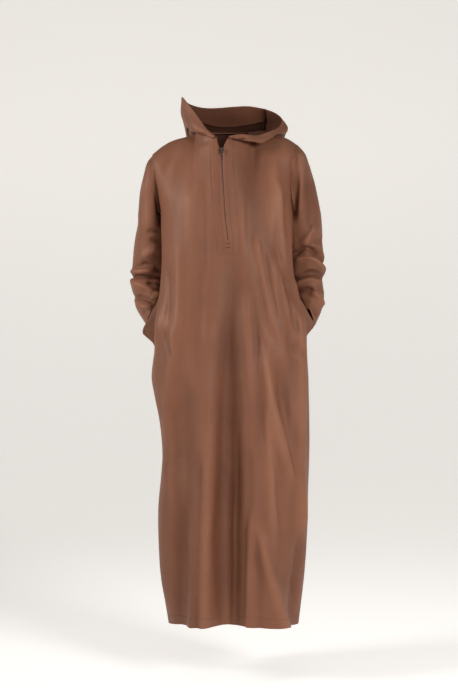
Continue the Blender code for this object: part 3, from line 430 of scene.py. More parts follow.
def next_row(rows, used, closed):
    """The row of points above the last one, walked over the cells between from each known point."""
    row = rows[-1]
    count = len(row)
    found = [None] * count
    if closed:
        start = max(range(count), key=lambda index: straight_above(rows, index)[0])
        found[start] = straight_above(rows, start)[1]
        if found[start] is None:
            return None
        order = [(start + step) % count for step in range(count)]
        for here, there in zip(order, order[1:]):
            found[there] = next_point(row[here], row[there], found[here], used)
        shut = fresh_face(shared_edge(row[order[-1]], row[start]), used)
        used.update([shut] + [face for edge in shut.edges for face in edge.link_faces
                              if set(face.verts) <= set(row) | set(found)])
        return found
    known = set(row) | set(rows[-2] if len(rows) > 1 else ())
    for index, way in ((0, 1), (count - 1, -1)):
        rim = [e.other_vert(row[index]) for e in row[index].link_edges if e.is_boundary]
        rim = [vertex for vertex in rim if vertex not in known]
        if not rim:
            return None
        found[index] = rim[0]
        while 0 <= index + way < count and found[index + way] is None:
            point = next_point(row[index], row[index + way], found[index], used)
            if point is None:
                break
            index += way
            found[index] = point
    return found


def skin_grid(node):
    """The outer skin's points in rows, its columns running so that the cloth faces outwards."""
    mesh = outer_skin(node)
    start, end = FIRST_ROWS[node]
    rows, used = [first_row(mesh, start, end)], set()
    while True:
        row = next_row(rows, used, end is None)
        if row is None or None in row:
            break
        rows.append(row)
    grid = np.array([[vertex.co for vertex in row] for row in rows])
    if sum(len(row) for row in rows) != len(mesh.verts):
        raise RuntimeError(f"{node}: {grid.shape[:2]} points were read out of {len(mesh.verts)}")
    mesh.free()
    return grid


def facing(grid, closed=False):
    """Unit outward directions of a grid of points, rows upwards and columns to the right."""
    if closed:
        around = np.roll(grid, -1, axis=1) - np.roll(grid, 1, axis=1)
    else:
        around = np.gradient(grid, axis=1)
    return unit(np.cross(around, np.gradient(grid, axis=0)))


def ring_facing(points):
    """Unit outward directions of a grid that goes round, its last column lying on its first."""
    normals = facing(points[:, :-1], closed=True)
    return np.concatenate([normals, normals[:, :1]], axis=1)


def measured(grid, axis, closed=False):
    """How far along the cloth each row or column lies, in metres, on average."""
    if closed:
        grid = np.concatenate([grid, grid[:, :1]], axis=1)
    steps = np.linalg.norm(np.diff(grid, axis=axis), axis=2).mean(axis=1 - axis)
    return np.concatenate([[0.0], np.cumsum(steps)])


def fine_places(length, step, details=()):
    """Places about a step apart along a length, with others where there is detail."""
    places = list(np.linspace(0.0, length, int(round(length / step)) + 1))
    details = [place if place >= 0.0 else length + place for place in details]
    places = [p for p in places if all(abs(p - d) > 0.0007 for d in details) or p in (0.0, length)]
    details = [d for d in details if 0.0004 < d < length - 0.0004]
    return np.array(sorted(places + details))


def through(values, places, wanted):
    """Values at rising places, read at the wanted places on a smooth curve, along the first axis."""
    slopes = np.gradient(values, places, axis=0)
    at = np.clip(np.searchsorted(places, wanted, side="right") - 1, 0, len(places) - 2)
    shape = (-1,) + (1,) * (values.ndim - 1)
    span = (places[at + 1] - places[at]).reshape(shape)
    share = (wanted - places[at]).reshape(shape) / span
    square, cube = share ** 2, share ** 3
    return (
        values[at] * (2 * cube - 3 * square + 1)
        + slopes[at] * span * (cube - 2 * square + share)
        + values[at + 1] * (3 * square - 2 * cube)
        + slopes[at + 1] * span * (cube - square)
    )


def across_columns(grid, places, wanted):
    return np.swapaxes(through(np.swapaxes(grid, 0, 1), places, wanted), 0, 1)


def hem_details(width):
    """Places across a turned hem that need a line of points: at its edge and at its stitching."""
    return HEM_LINES + tuple(width + off for off in BESIDE_STITCHING)


def hem_groove(up, width):
    """How deep a hem's stitching is pressed in, at each place up the piece."""
    depth, half = HEM_GROOVE
    return depth * np.exp(-(((up[:, None] - width) / half) ** 2))


def relief(across, up, creases):
    """How far creases move each point outwards."""
    total = np.zeros_like(across)
    for *places, depth, right, left, fade in creases:
        start, middle, end = np.array(places).reshape(3, 2) / 1000
        control = 2.0 * middle - (start + end) / 2.0
        shares = np.linspace(0.0, 1.0, 11)[:, None]
        line = start * (1 - shares) ** 2 + control * 2 * shares * (1 - shares) + end * shares ** 2
        closest = np.full(across.shape, np.inf)
        way = np.zeros_like(across)
        side = np.zeros_like(across)
        for index, (low, high) in enumerate(zip(line, line[1:])):
            run = high - low
            off_across, off_up = across - low[0], up - low[1]
            share = np.clip((off_across * run[0] + off_up * run[1]) / (run @ run), 0.0, 1.0)
            apart = np.hypot(off_across - share * run[0], off_up - share * run[1])
            closer = apart < closest
            closest = np.where(closer, apart, closest)
            way = np.where(closer, (index + share) / 10.0, way)
            side = np.where(closer, run[0] * off_up - run[1] * off_across, side)
        width = np.where(side > 0, left, right) / 1000
        faded = fade / 100
        rise = smooth_step(way / faded) * smooth_step((1.0 - way) / faded)
        total += depth / 10000 * rise * np.exp(-((closest / width) ** 2))
    return total


def relief_round(points, normals, front_creases, other_creases):
    """Creases of a piece that goes round, by which way its cloth faces."""
    x, z = points[..., 0], points[..., 2]
    front = smooth_step(0.5 - 1.2 * normals[..., 1])
    return front * relief(x, z, front_creases) + (1.0 - front) * relief(x, z, other_creases)


def cuff_reach(points, normals, up, side):
    """How the cuff's front is drawn down into the pocket mouth and its inner side to the body."""
    front, inner, length = CUFF_REACH[side]
    low = smooth_step(1.0 - up[:, None, None] / length)
    facing_front = smooth_step(0.45 - 1.3 * normals[..., 1:2])
    facing_body = smooth_step(-side * normals[..., 0:1])
    downwards = unit(points[0] - points[CUFF_ROWS])
    to_body = np.array([-side, 0.0, 0.0])
    return low * (facing_front * front * downwards + facing_body * inner * to_body)


def ripples(points, size, depth, seed):
    """Small uneven waves in the cloth, the same each run."""
    shift = Vector((seed, 2.0 * seed, 3.0 * seed))
    flat = points.reshape(-1, 3)
    waves = [noise.noise(Vector((x / size, y / size, z / (2.2 * size))) + shift) for x, y, z in flat]
    return np.array(waves).reshape(points.shape[:2]) * depth


def uneven(points, kind, shift=0):
    """All the small waves of one kind of piece."""
    return sum(ripples(points, size, depth, seed + shift) for size, depth, seed in WAVES[kind])


def mesh_steps(kind):
    """How far apart a piece's points lie, up it and across it."""
    return [bpy.context.scene.thobe_cloth.mesh_step * share for share in FINENESS[kind]]


def folded_edge(points, normals, places, kind, depth):
    """Lines of points past the last one, which turn the cloth's edge in as a hem or a seam."""
    edge, out_of = points[-1], normals[-1]
    away = points[-1] - points[-2]
    away = unit(away - out_of * (away * out_of).sum(axis=-1, keepdims=True))
    lines, leans, walked = [], [], [places[-1]]
    if kind == "seam":
        for deep, lean in ((SEAM_ROUND, 0.6), (depth, 1.0)):
            lines.append(edge - out_of * deep)
            leans.append(unit(out_of * (1.0 - lean) + away * lean))
            walked.append(places[-1] + deep)
    else:
        for degrees in (45, 90, 135, 180):
            angle = math.radians(degrees)
            out, down = math.sin(angle), 1 - math.cos(angle)
            lines.append(edge + away * HEM_TURN * out - out_of * HEM_TURN * down)
            leans.append(out_of)
            walked.append(walked[-1] + HEM_TURN * math.pi / 4)
        for index in range(len(places) - 2, -1, -1):
            if places[-1] - places[index] > depth:
                break
            if places[-1] - places[index] > 0.002:
                lines.append(points[index] - normals[index] * 2 * HEM_TURN)
                leans.append(normals[index])
                walked.append(places[-1] * 2 - places[index])
    return lines, leans, walked[1:]


def with_edge(points, normals, places, side, kind, depth):
    """The grid with one edge turned in: side is low or high along the first axis."""
    if side == "low":
        points, normals, places = points[::-1], normals[::-1], -places[::-1]
    lines, leans, walked = folded_edge(points, normals, places, kind, depth)
    points = np.concatenate([points, np.array(lines)])
    normals = np.concatenate([normals, np.array(leans)])
    places = np.concatenate([places, walked])
    if side == "low":
        points, normals, places = points[::-1], normals[::-1], -places[::-1]
    return points, normals, places


def turned_in(points, normals, along, across, edges):
    """All the given edges turned in: bottom and top first, then the two sides."""
    for side, key in (("low", "bottom"), ("high", "top")):
        if key in edges:
            points, normals, along = with_edge(points, normals, along, side, *edges[key])
    points, normals = np.swapaxes(points, 0, 1), np.swapaxes(normals, 0, 1)
    for side, key in (("low", "first"), ("high", "last")):
        if key in edges:
            points, normals, across = with_edge(points, normals, across, side, *edges[key])
    return np.swapaxes(points, 0, 1), along, across


def fold_shade_and_highlight(push, lines, along, across):
    """Painted fold light at each point: 1 for painted highlight on a ridge, -1 for painted shade in a
    trough, and -1 on every line turned in at an edge.
    """
    up, over = lines
    rows = np.clip(np.searchsorted(up, along - 1e-9), 0, len(up) - 1)
    columns = np.clip(np.searchsorted(over, across - 1e-9), 0, len(over) - 1)
    row_shows = np.abs(up[rows] - along) < 1e-6
    column_shows = np.abs(over[columns] - across) < 1e-6
    shown = np.clip(push[np.ix_(rows, columns)] / FOLD_SHADE_DEPTH, -1.0, 1.0)
    return np.where(row_shows[:, None] & column_shows[None, :], shown, -1.0)


def cloth_sheet(name, points, along, across, nap_and_fold_shade, slit=None, closed=False):
    """A sheet of cloth through a grid of points, its UV map in metres along and across.

    slit is the row where an open column of cells starts, and the column itself.
    """
    rows, columns = points.shape[:2]
    mesh = bmesh.new()
    layer = mesh.loops.layers.uv.new("UVMap")
    # a point attribute holding the painted shade in the creases' troughs and the painted highlight on their
    # ridges
    painted_fold_tone = mesh.verts.layers.float.new("nap_and_fold_shade")
    bmesh.ops.create_grid(mesh, x_segments=columns - 1, y_segments=rows - 1, size=1.0, calc_uvs=True)
    mesh.verts.ensure_lookup_table()
    if len(mesh.verts) != rows * columns:
        raise RuntimeError(f"{name}: the grid has {len(mesh.verts)} points, not {rows * columns}")
    for index, vertex in enumerate(mesh.verts):
        vertex.co = points[index // columns][index % columns]
        vertex[painted_fold_tone] = nap_and_fold_shade[index // columns][index % columns]
    unwanted = []
    for face in mesh.faces:
        cells = [(loop.vert.index // columns, loop.vert.index % columns) for loop in face.loops]
        for loop, (row, column) in zip(face.loops, cells):
            loop[layer].uv = (across[column], along[row])
        low_row, low_column = (min(places) for places in zip(*cells))
        if slit and low_row >= slit[0] and low_column == slit[1]:
            unwanted.append(face)
    bmesh.ops.delete(mesh, geom=unwanted, context="FACES")
    if closed:
        bmesh.ops.remove_doubles(mesh, verts=mesh.verts[:], dist=0.00001)
    return piece_from(name, mesh)


def placed(name, data):
    obj = bpy.data.objects.new(name, data)
    bpy.context.scene.collection.objects.link(obj)
    return obj


def piece_from(name, mesh):
    """An object of the finished mesh, smooth shaded and in the scene."""
    data = bpy.data.meshes.new(name)
    mesh.to_mesh(data)
    mesh.free()
    data.shade_smooth()
    return placed(name, data)


def thickened(obj, thickness):
    """Gives a sheet its thickness, with the cloth's reverse on its inner side, its tone dark enough to paint
    the shade inside the hood, sleeves and panels.
    """
    wall = obj.modifiers.new("cloth thickness", "SOLIDIFY")
    wall.thickness = thickness
    wall.offset = -1.0
    wall.use_even_offset = False
    wall.material_offset = 1
    obj.data.materials.append(cloth_material())
    obj.data.materials.append(reverse_and_inner_shade_material())


def worn(obj, finish, slot, *nodes):
    """Gives a piece its finish and lets it stand for its CAD nodes."""
    if finish:
        obj.data.materials.append(finish)
    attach(obj, GARMENT)
    if nodes:
        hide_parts(*nodes)
    return obj


def dressed(node, shape, lines, edges, slit=None, closed=False):
    """A cloth piece of its shaped points: its edges turned in, and with its thickness and its cut."""
    points, normals, push = shape
    points, along, across = turned_in(points, normals, *lines, edges)
    if slit:
        slit = nearest(along, lines[0][slit[0]]), nearest(across, lines[1][slit[1]])
    # painted shade in the troughs and painted highlight on the ridges, from each point's crease depth
    nap_and_fold_shade = fold_shade_and_highlight(push, lines, along, across)
    name = node.replace("_panel", "") + "_cloth"
    piece = cloth_sheet(name, points, along, across, nap_and_fold_shade, slit, closed)
    thickened(piece, bpy.context.scene.thobe_cloth.thickness)
    worn(piece, None, "cloth", node)


def laid_on(points, normals, path):
    """Places on a sheet at the given (to the side, height) places, and which way it faces there."""
    flat, out = points.reshape(-1, 3), normals.reshape(-1, 3)
    spots, ways = [], []
    for x, z in path:
        near = int(np.argmin((flat[:, 0] - x) ** 2 + (flat[:, 2] - z) ** 2))
        here, way = flat[near], out[near]
        y = here[1] - (way[0] * (x - here[0]) + way[2] * (z - here[2])) / way[1]
        spots.append((x, y, z))
        ways.append(way)
    return np.array(spots), np.array(ways)


def stitches(mesh, line, normals, pitch=0.0034, long=0.0024, thick=0.00038):
    """Short stitches along a line of points, each pulled a little into the cloth."""
    steps = np.linalg.norm(np.diff(line, axis=0), axis=1)
    walked = np.concatenate([[0.0], np.cumsum(steps)])
    places = np.arange(pitch / 2, walked[-1], pitch)

    def read(values, at):
        return np.stack([np.interp(at, walked, column) for column in np.array(values).T], axis=1)

    spots, ways = read(line, places), unit(read(normals, places))
    along = unit(read(line, places + 0.0003) - read(line, places - 0.0003))
    ways = unit(ways - along * (along * ways).sum(axis=1, keepdims=True))
    for spot, run, way in zip(spots, along, ways):
        beside = np.cross(way, run)
        turn = Matrix((run * long / 2, beside * thick, way * thick)).transposed().to_4x4()
        turn.translation = Vector(spot + way * thick * 0.35)
        bmesh.ops.create_icosphere(mesh, subdivisions=1, radius=1.0, matrix=turn)


def stitching(name, runs, **sizes):
    """One piece of all the stitches along some lines, each given as its points and directions."""
    mesh = bmesh.new()
    for line, normals in runs:
        stitches(mesh, line, normals, **sizes)
    return worn(piece_from(name, mesh), thread_material(), "cloth")


class Value:
    """A number that varies over a surface. Sums on it add the Math nodes they need."""

    def __init__(self, finish, socket):
        self.finish = finish
        self.socket = socket

    def sum(self, operation, first, second):
        return self.finish.node("ShaderNodeMath", {"operation": operation}, {0: first, 1: second})

    def __add__(self, other):
        return self.sum("ADD", self, other)

    def __rsub__(self, other):
        return self.sum("SUBTRACT", other, self)

    def __mul__(self, other):
        return self.sum("MULTIPLY", self, other)

    __radd__ = __add__
    __rmul__ = __mul__


class Finish:
    """A material put together from nodes on one Principled shader."""

    def __init__(self, name, colour, constants):
        self.material = bpy.data.materials.new(name)
        self.material.use_nodes = True
        self.material.diffuse_color = (*colour, 1.0)
        self.nodes = self.material.node_tree.nodes
        self.links = self.material.node_tree.links
        self.shader = self.nodes["Principled BSDF"]
        for socket, value in constants.items():
            self.shader.inputs[socket].default_value = value

    def feed(self, socket, value):
        if isinstance(value, Value):
            self.links.new(value.socket, socket)
        else:
            socket.default_value = value

    def node(self, kind, settings=None, inputs=None, output=0):
        """One output of a new node, its settings made before its sockets are fed."""
        made = self.nodes.new(kind)
        for name, value in (settings or {}).items():
            if name == "stops":
                for index, (place, colour) in enumerate(value):
                    stop = made.color_ramp.elements
                    stop = stop[index] if index < 2 else stop.new(place)
                    stop.position, stop.color = place, (*colour, 1.0)
            else:
                setattr(made, name, value)
        for socket, value in (inputs or {}).items():
            self.feed(made.inputs[socket], value)
        return Value(self, made.outputs[output])

    def place(self, name="Object"):
        return self.node("ShaderNodeTexCoord", output=name)

    def stretched(self, place, scale):
        return self.node("ShaderNodeMapping", {}, {"Vector": place, "Scale": scale})

    def cloud(self, place, scale, detail=2.0, roughness=0.5):
        return self.node(
            "ShaderNodeTexNoise", {},
            {"Vector": place, "Scale": scale, "Detail": detail, "Roughness": roughness},
        )

    def ramp(self, value, low, high):
        """The value brought to 0 at low and 1 at high."""
        return self.node("ShaderNodeMapRange", {}, {"Value": value, "From Min": low, "From Max": high})

    def bands(self, place, direction, pitch, distortion, **more):
        """Even bands a pitch apart, a little distorted."""
        inputs = {"Vector": place, "Scale": BAND_LENGTH / pitch, "Distortion": distortion, "Detail": 1.0}
        settings = {"wave_type": "BANDS", "bands_direction": direction}
        return self.node("ShaderNodeTexWave", settings, {**inputs, **more}, output="Fac")

    def mixed(self, share, low, high):
        return self.node("ShaderNodeMix", {"data_type": "RGBA"}, {0: share, 6: low, 7: high}, output=2)

    def bump(self, height, distance, strength=1.0, under=None):
        inputs = {"Height": height, "Distance": distance, "Strength": strength}
        if under:
            inputs["Normal"] = under
        return self.node("ShaderNodeBump", {}, inputs)

    def apply(self, socket, value):
        self.feed(self.shader.inputs[socket], value)


def opaque(colour):
    return (*colour, 1.0)


def cloth_finish(name, settings, tone, sheen):
    """Smooth brushed twill with a soft pile: clouded random tone, painted shade in the creases' troughs and
    painted highlight on their ridges, fine slanting ribs and a low sheen.
    """
    light, dark, middle = (
        tuple(part * tone for part in colour)
        for colour in (settings.light_colour, settings.dark_colour, settings.colour)
    )
    finish = Finish(name, middle, {
        "Specular IOR Level": 0.26 * tone, "Sheen Weight": sheen, "Sheen Roughness": 0.35,
        "Specular Tint": (1.0, 0.80, 0.68, 1.0),
        "Sheen Tint": opaque(settings.light_colour),
    })
    place = finish.place()
    weave = finish.place("UV")
    clouds = finish.ramp(finish.cloud(place, 7.0, 5.0, 0.62), 0.32, 0.68)
    upright = finish.stretched(place, (30.0, 30.0, 5.0))
    drifts = finish.ramp(finish.cloud(upright, 1.0, 3.0), 0.30, 0.70)
    flecks = finish.ramp(finish.cloud(weave, 900.0, 2.0, 0.6), 0.30, 0.70)
    # painted shade in the creases' troughs and painted highlight on their ridges, read from each point's
    # attribute and mixed with the cloth's random tone
    painted_fold_tone = finish.node("ShaderNodeAttribute", {"attribute_name": "nap_and_fold_shade"}, output="Fac")
    shade = clouds * 0.17 + drifts * 0.12 + flecks * 0.12 + painted_fold_tone * 0.36 + 0.30
    finish.apply("Base Color", finish.mixed(shade, opaque(dark), opaque(light)))
    finish.apply("Roughness", 0.50 + (1.0 - clouds) * 0.12)
    ribs = finish.bands(weave, "DIAGONAL", settings.rib_pitch, 0.6, **{"Detail Scale": 2.0})
    nap_and_fold_shade = finish.bump(flecks, 0.00010, 0.5)
    rumples = finish.cloud(finish.stretched(place, (45.0, 45.0, 14.0)), 1.0, 4.0)
    dimples = finish.cloud(finish.stretched(place, (150.0, 150.0, 60.0)), 1.0, 3.0)
    rippled = finish.bump(rumples, 0.0040, 0.27, finish.bump(dimples, 0.0010, 0.40, nap_and_fold_shade))
    finish.apply("Normal", finish.bump(ribs, 0.00006, 0.4, rippled))
    return finish.material


def plain_finish(name, colour, roughness, grain, metallic=0.0):
    """A finish for small parts: its colour a little uneven, with a fine grain."""
    finish = Finish(name, colour, {"Metallic": metallic, "Specular IOR Level": 0.45})
    place = finish.place()
    mottle = finish.cloud(place, 1.0 / grain, 3.0)
    dark = tuple(0.72 * part for part in colour)
    finish.apply("Base Color", finish.mixed(mottle, opaque(dark), opaque(colour)))
    finish.apply("Roughness", roughness - 0.06 + mottle * 0.12)
    finish.apply("Normal", finish.bump(mottle, grain * 0.10, 0.4))
    return finish.material


def tape_finish(name, colour):
    """Closely woven tape: fine ribs along its length, crossed by the weft."""
    finish = Finish(name, colour, {"Specular IOR Level": 0.25})
    place = finish.place()
    dark = tuple(0.6 * part for part in colour)
    weave = finish.bands(place, "X", 0.0009, 0.8) * 0.6 + finish.bands(place, "Z", 0.0006, 0.6) * 0.4
    finish.apply("Base Color", finish.mixed(weave, opaque(dark), opaque(colour)))
    finish.apply("Roughness", 0.85 - weave * 0.15)
    finish.apply("Normal", finish.bump(weave, 0.00015, 0.7))
    return finish.material


def made_once(name, make, *values):
    return bpy.data.materials.get(name) or make(name, *values)


def cloth_material():
    settings = bpy.context.scene.thobe_cloth
    return made_once("brown twill", cloth_finish, settings, 1.0, settings.sheen)


# The duller reverse of the cloth, darkened further as painted shade inside the hood, sleeves and panels
def reverse_and_inner_shade_material():
    settings = bpy.context.scene.thobe_cloth
    return made_once("brown twill reverse", cloth_finish, settings, settings.reverse, 0.0)


def pocket_material():
    settings = bpy.context.scene.thobe_cloth
    return made_once("pocket cloth", cloth_finish, settings, 0.95, 0.08)


def thread_material():
    settings = bpy.context.scene.thobe_cloth
    return made_once("brown thread", plain_finish, settings.thread_colour, 0.55, 0.0009)


def tape_material():
    return made_once("zip tape weave", tape_finish, bpy.context.scene.thobe_zip.tape_colour)


def teeth_material():
    settings = bpy.context.scene.thobe_zip
    return made_once("zip teeth", plain_finish, settings.teeth_colour, 0.38, 0.0008)


def metal_material():
    settings = bpy.context.scene.thobe_zip
    return made_once("dark zip metal", plain_finish, settings.metal_colour, 0.28, 0.0006, 1.0)


def zip_side(heights):
    """How far to the side the zip's line lies at some heights."""
    return np.interp(heights, *np.array(ZIP_LINE).T)


def placket_groove(x, z):
    """Lines pressed in by the placket's stitching: three down each side and one across its foot."""
    off = np.abs(x - zip_side(z))
    total = np.zeros_like(x)
    inside = smooth_step((z - PLACKET_END + 0.002) / 0.004)
    for reach, depth in PLACKET_LINES:
        total -= depth * np.exp(-(((off - reach) / LINE_HALF) ** 2)) * inside
    within = smooth_step((PLACKET_HALF + 0.001 - off) / 0.002)
    return total - FOOT_DEPTH * (np.exp(-(((z - PLACKET_END) / LINE_HALF) ** 2)) * within)


def placket_stitching(points, normals):
    """The lines of stitching round the zip, and the two bar tacks below it."""
    runs = []
    for reach, top in PLACKET_STITCHES:
        heights = np.linspace(top, PLACKET_END, 80)
        runs.append(laid_on(points, normals, np.stack([zip_side(heights) + reach, heights], axis=1)))
    foot = np.linspace(-PLACKET_HALF, PLACKET_HALF, 20)
    runs.append(laid_on(points, normals, np.stack([foot, np.full(20, PLACKET_END)], axis=1)))
    tacks = []
    for height in BAR_TACKS:
        side = np.linspace(-BAR_TACK_HALF, BAR_TACK_HALF, 12) + zip_side(height)
        tacks.append(laid_on(points, normals, np.stack([side, np.full(12, height)], axis=1)))
    return (
        stitching("placket_stitching", runs, pitch=0.0030, long=0.0021),
        stitching("bar_tacks", tacks, pitch=0.0007, long=0.0009, thick=0.00085),
    )


def setting(name, description, default, low, high, unit="NONE"):
    """A number that can be changed in the sidebar."""
    return FloatProperty(name=name, description=description, default=default, min=low, max=high, unit=unit)


def colour_setting(name, description, default):
    """A colour that can be changed in the sidebar."""
    return FloatVectorProperty(
        name=name, description=description, default=default, subtype="COLOR", size=3, min=0.0, max=1.0,
    )


class ThobeCloth(PropertyGroup):
    """Sizes and colours of the cloth."""

    colour: colour_setting("Colour", "Middle tone of the cloth", (0.168, 0.066, 0.036))
    # The light and dark tones end the colour mix, which holds the cloth's random tone, the painted shade in
    # crease troughs and the painted highlight on crease ridges
    light_colour: colour_setting("Light tone", "Where the nap catches the light", (0.228, 0.095, 0.054))
    dark_colour: colour_setting("Dark tone", "Where the nap lies the other way", (0.088, 0.031, 0.017))
    thread_colour: colour_setting("Thread", "Colour of the stitching", (0.085, 0.032, 0.018))
    # The reverse's tone is partly the cloth's duller reverse and partly painted shade inside the hood,
    # sleeves and panels
    reverse: setting("Reverse", "Tone of the cloth's reverse beside that of its face", 0.28, 0.1, 1.0)
    sheen: setting("Sheen", "How much soft light the nap throws back", 0.16, 0.0, 1.0)
    fold_depth: setting("Fold depth", "How deep the creases are, beside their tables", 1.5, 0.0, 3.0)
    thickness: setting("Thickness", "Thickness of one layer of cloth", 0.0009, 0.0003, 0.0016, "LENGTH")
    rib_pitch: setting("Rib pitch", "From one rib of the twill to the next", 0.0011, 0.0004, 0.004, "LENGTH")
    mesh_step: setting("Mesh step", "Distance between the mesh's points", 0.0060, 0.003, 0.02, "LENGTH")
    hem: setting("Hem", "Height of the turned hem", 0.0220, 0.008, 0.05, "LENGTH")
    cuff: setting("Cuff hem", "Width of the turned hem of each sleeve", 0.0180, 0.008, 0.05, "LENGTH")
    hood_hem: setting("Hood hem", "Width of the hem round the hood's rim", 0.0280, 0.008, 0.05, "LENGTH")


class ThobeZip(PropertyGroup):
    """Sizes and colours of the zip."""

    tooth_pitch: setting("Tooth pitch", "From one tooth to the next", 0.0014, 0.001, 0.003, "LENGTH")
    teeth_colour: colour_setting("Teeth", "Colour of the zip's teeth", (0.060, 0.030, 0.020))
    tape_colour: colour_setting("Tape", "Colour of the zip's tapes", (0.120, 0.050, 0.030))
    metal_colour: colour_setting("Metal", "Colour of the slider and its tab", (0.25, 0.24, 0.235))


class ThobeStage(PropertyGroup):
    """The studio and the camera."""

    eye_height: setting("Camera height", "Its height above the origin", -0.5175, -2.0, 2.0, "LENGTH")
    eye_distance: setting("Camera distance", "From the garment's middle", 3.5, 1.0, 10.0, "LENGTH")
    seen_height: setting("Height in view", "The picture's height at the garment", 1.72, 0.5, 4.0, "LENGTH")
    floor: setting("Floor", "Height of the floor", -1.345, -3.0, 0.0, "LENGTH")
    paper_glow: setting("Paper glow", "Light that the backdrop gives of itself", 0.52, 0.0, 2.0)
    light: setting("Light", "Brightness that all lamps share", 42.0, 0.0, 1000.0, "POWER")


class THOBE_OT_front_and_back(Operator):
    """Make the front and back panels with their folds, hems and placket"""

    bl_idname = "thobe.front_and_back"
    bl_label = "Front and back"

    def execute(self, context):
        settings = context.scene.thobe_cloth
        hem = settings.hem
        for side, other, creases in (("front", "back", FRONT_CREASES), ("back", "front", BACK_CREASES)):
            grid = skin_grid(f"{side}_panel")
            along = measured(grid, 0)
            details = hem_details(hem) + (0.010, hem - 0.0035) + FAR_EDGE
            step_up, step = mesh_steps("panel")
            up = fine_places(along[-1], step_up, details)
            if side == "front":
                grid, over, slit = self.front(grid, along, up, step)
            else:
                across, slit = measured(grid, 1), None
                over = fine_places(across[-1], step, NEAR_EDGE + FAR_EDGE)
                grid = across_columns(through(grid, along, up), across, over)
            x, z = grid[..., 0], grid[..., 2]
            push = settings.fold_depth * relief(x, z, creases)
            push += uneven(grid, "panel")
            push *= smooth_step(np.minimum(over, over[-1] - over)[None, :] / 0.02)
            push -= hem_groove(up, hem)
            if side == "front":
                push += placket_groove(x, z)
            points = grid + facing(grid) * push[..., None]
            normals = facing(points)
            row = nearest(up, hem)
            sewn = [stitching(f"{side}_hem_stitching", [(points[row], normals[row])])]
            if side == "front":
                sewn += placket_stitching(points, normals)
            edges = {key: ("seam", SEAM_ALLOWANCE) for key in ("top", "first", "last")}
            edges["bottom"] = ("hem", hem)
            dressed(
                f"{side}_panel", (points, normals, push), (up, over), edges,
                slit,
            )
        return {"FINISHED"}

    def front(self, grid, along, up, step):
        """The front's fine grid: smooth all over below the slit, and in two halves above its end."""
        low, high = SLIT_COLUMNS
        end = nearest(grid[:, low, 2], SLIT_END)
        across = measured(grid[:end + 1], 1)
        middle = (across[low] + across[high]) / 2
        placket = tuple(middle + way * (reach + off) for way in (-1, 1)
                        for reach, _ in PLACKET_LINES for off in (-LINE_HALF, 0.0, LINE_HALF))
        over = fine_places(across[-1], step, placket + (across[low], across[high]) + NEAR_EDGE + FAR_EDGE)
        on_right, on_left = over <= across[low] + 1e-6, over >= across[high] - 1e-6
        over, on_right, on_left = (values[on_right | on_left] for values in (over, on_right, on_left))
        rows = through(grid, along, up)
        outer = np.delete(rows, SLIT_COLUMNS, axis=1)
        smooth = across_columns(outer, np.delete(across, SLIT_COLUMNS), over)
        right = across_columns(rows[:, :high], across[:high], over[on_right])
        left = across_columns(rows[:, high:], across[high:], over[on_left])
        halves = np.concatenate([right, left], axis=1)
        apart = np.minimum(np.abs(over - across[low]), np.abs(over - across[high]))
        toward = np.where(on_right, 1.0, -1.0) * np.exp(-((apart / 0.012) ** 2))
        halves[..., 0] += ZIP_PINCH * toward * smooth_step((PINCH_TOP - halves[..., 2]) / 0.016)
        share = smooth_step((up - (along[end] - 0.030)) / 0.030)[:, None, None]
        slit = nearest(up, along[end]), nearest(over, across[low])
        return smooth * (1.0 - share) + halves * share, over, slit


class THOBE_OT_sleeves(Operator):
    """Make both sleeves with the crumples of the elbows and their turned cuffs"""

    bl_idname = "thobe.sleeves"
    bl_label = "Sleeves"

    def execute(self, context):
        settings = context.scene.thobe_cloth
        for side, word in ((-1, "right"), (1, "left")):
            node = f"sleeve_{word}"
            grid = skin_grid(node)
            if (facing(grid, closed=True) * (grid - grid.mean(axis=(0, 1)))).sum() <= 0:
                grid = np.concatenate([grid[:, :1], grid[:, :0:-1]], axis=1)
            along = measured(grid, 0)
            across = measured(grid, 1, closed=True)
            step_up, step = mesh_steps("sleeve")
            up = fine_places(along[-1], step_up, hem_details(settings.cuff) + FAR_EDGE)
            over = fine_places(across[-1], step)
            rows = through(grid, along, up)
            ring = np.concatenate([rows[:, -3:], rows, rows[:, :4]], axis=1)
            places = np.concatenate([across[-4:-1] - across[-1], across[:-1], across[:4] + across[-1]])
            points = across_columns(ring, places, over)
            normals = ring_facing(points)
            push = settings.fold_depth * relief_round(points, normals, *SLEEVE_CREASES[side])
            push *= smooth_step((up[:, None] - 0.004) / 0.016) * smooth_step((up[-1] - up[:, None]) / 0.012)
            push = push + uneven(points, "sleeve", side) * smooth_step(up[:, None] / 0.03)
            push -= hem_groove(up, settings.cuff)
            points = points + normals * push[..., None] + cuff_reach(points, normals, up, side)
            normals = ring_facing(points)
            points[:, -1] = points[:, 0]
            row = nearest(up, settings.cuff)
            sewn = stitching(f"cuff_{word}_stitching", [(points[row], normals[row])])
            edges = {"bottom": ("hem", settings.cuff), "top": ("seam", SEAM_ALLOWANCE * 0.6)}
            dressed(
                node, (points, normals, push), (up, over), edges,
                closed=True,
            )
        return {"FINISHED"}


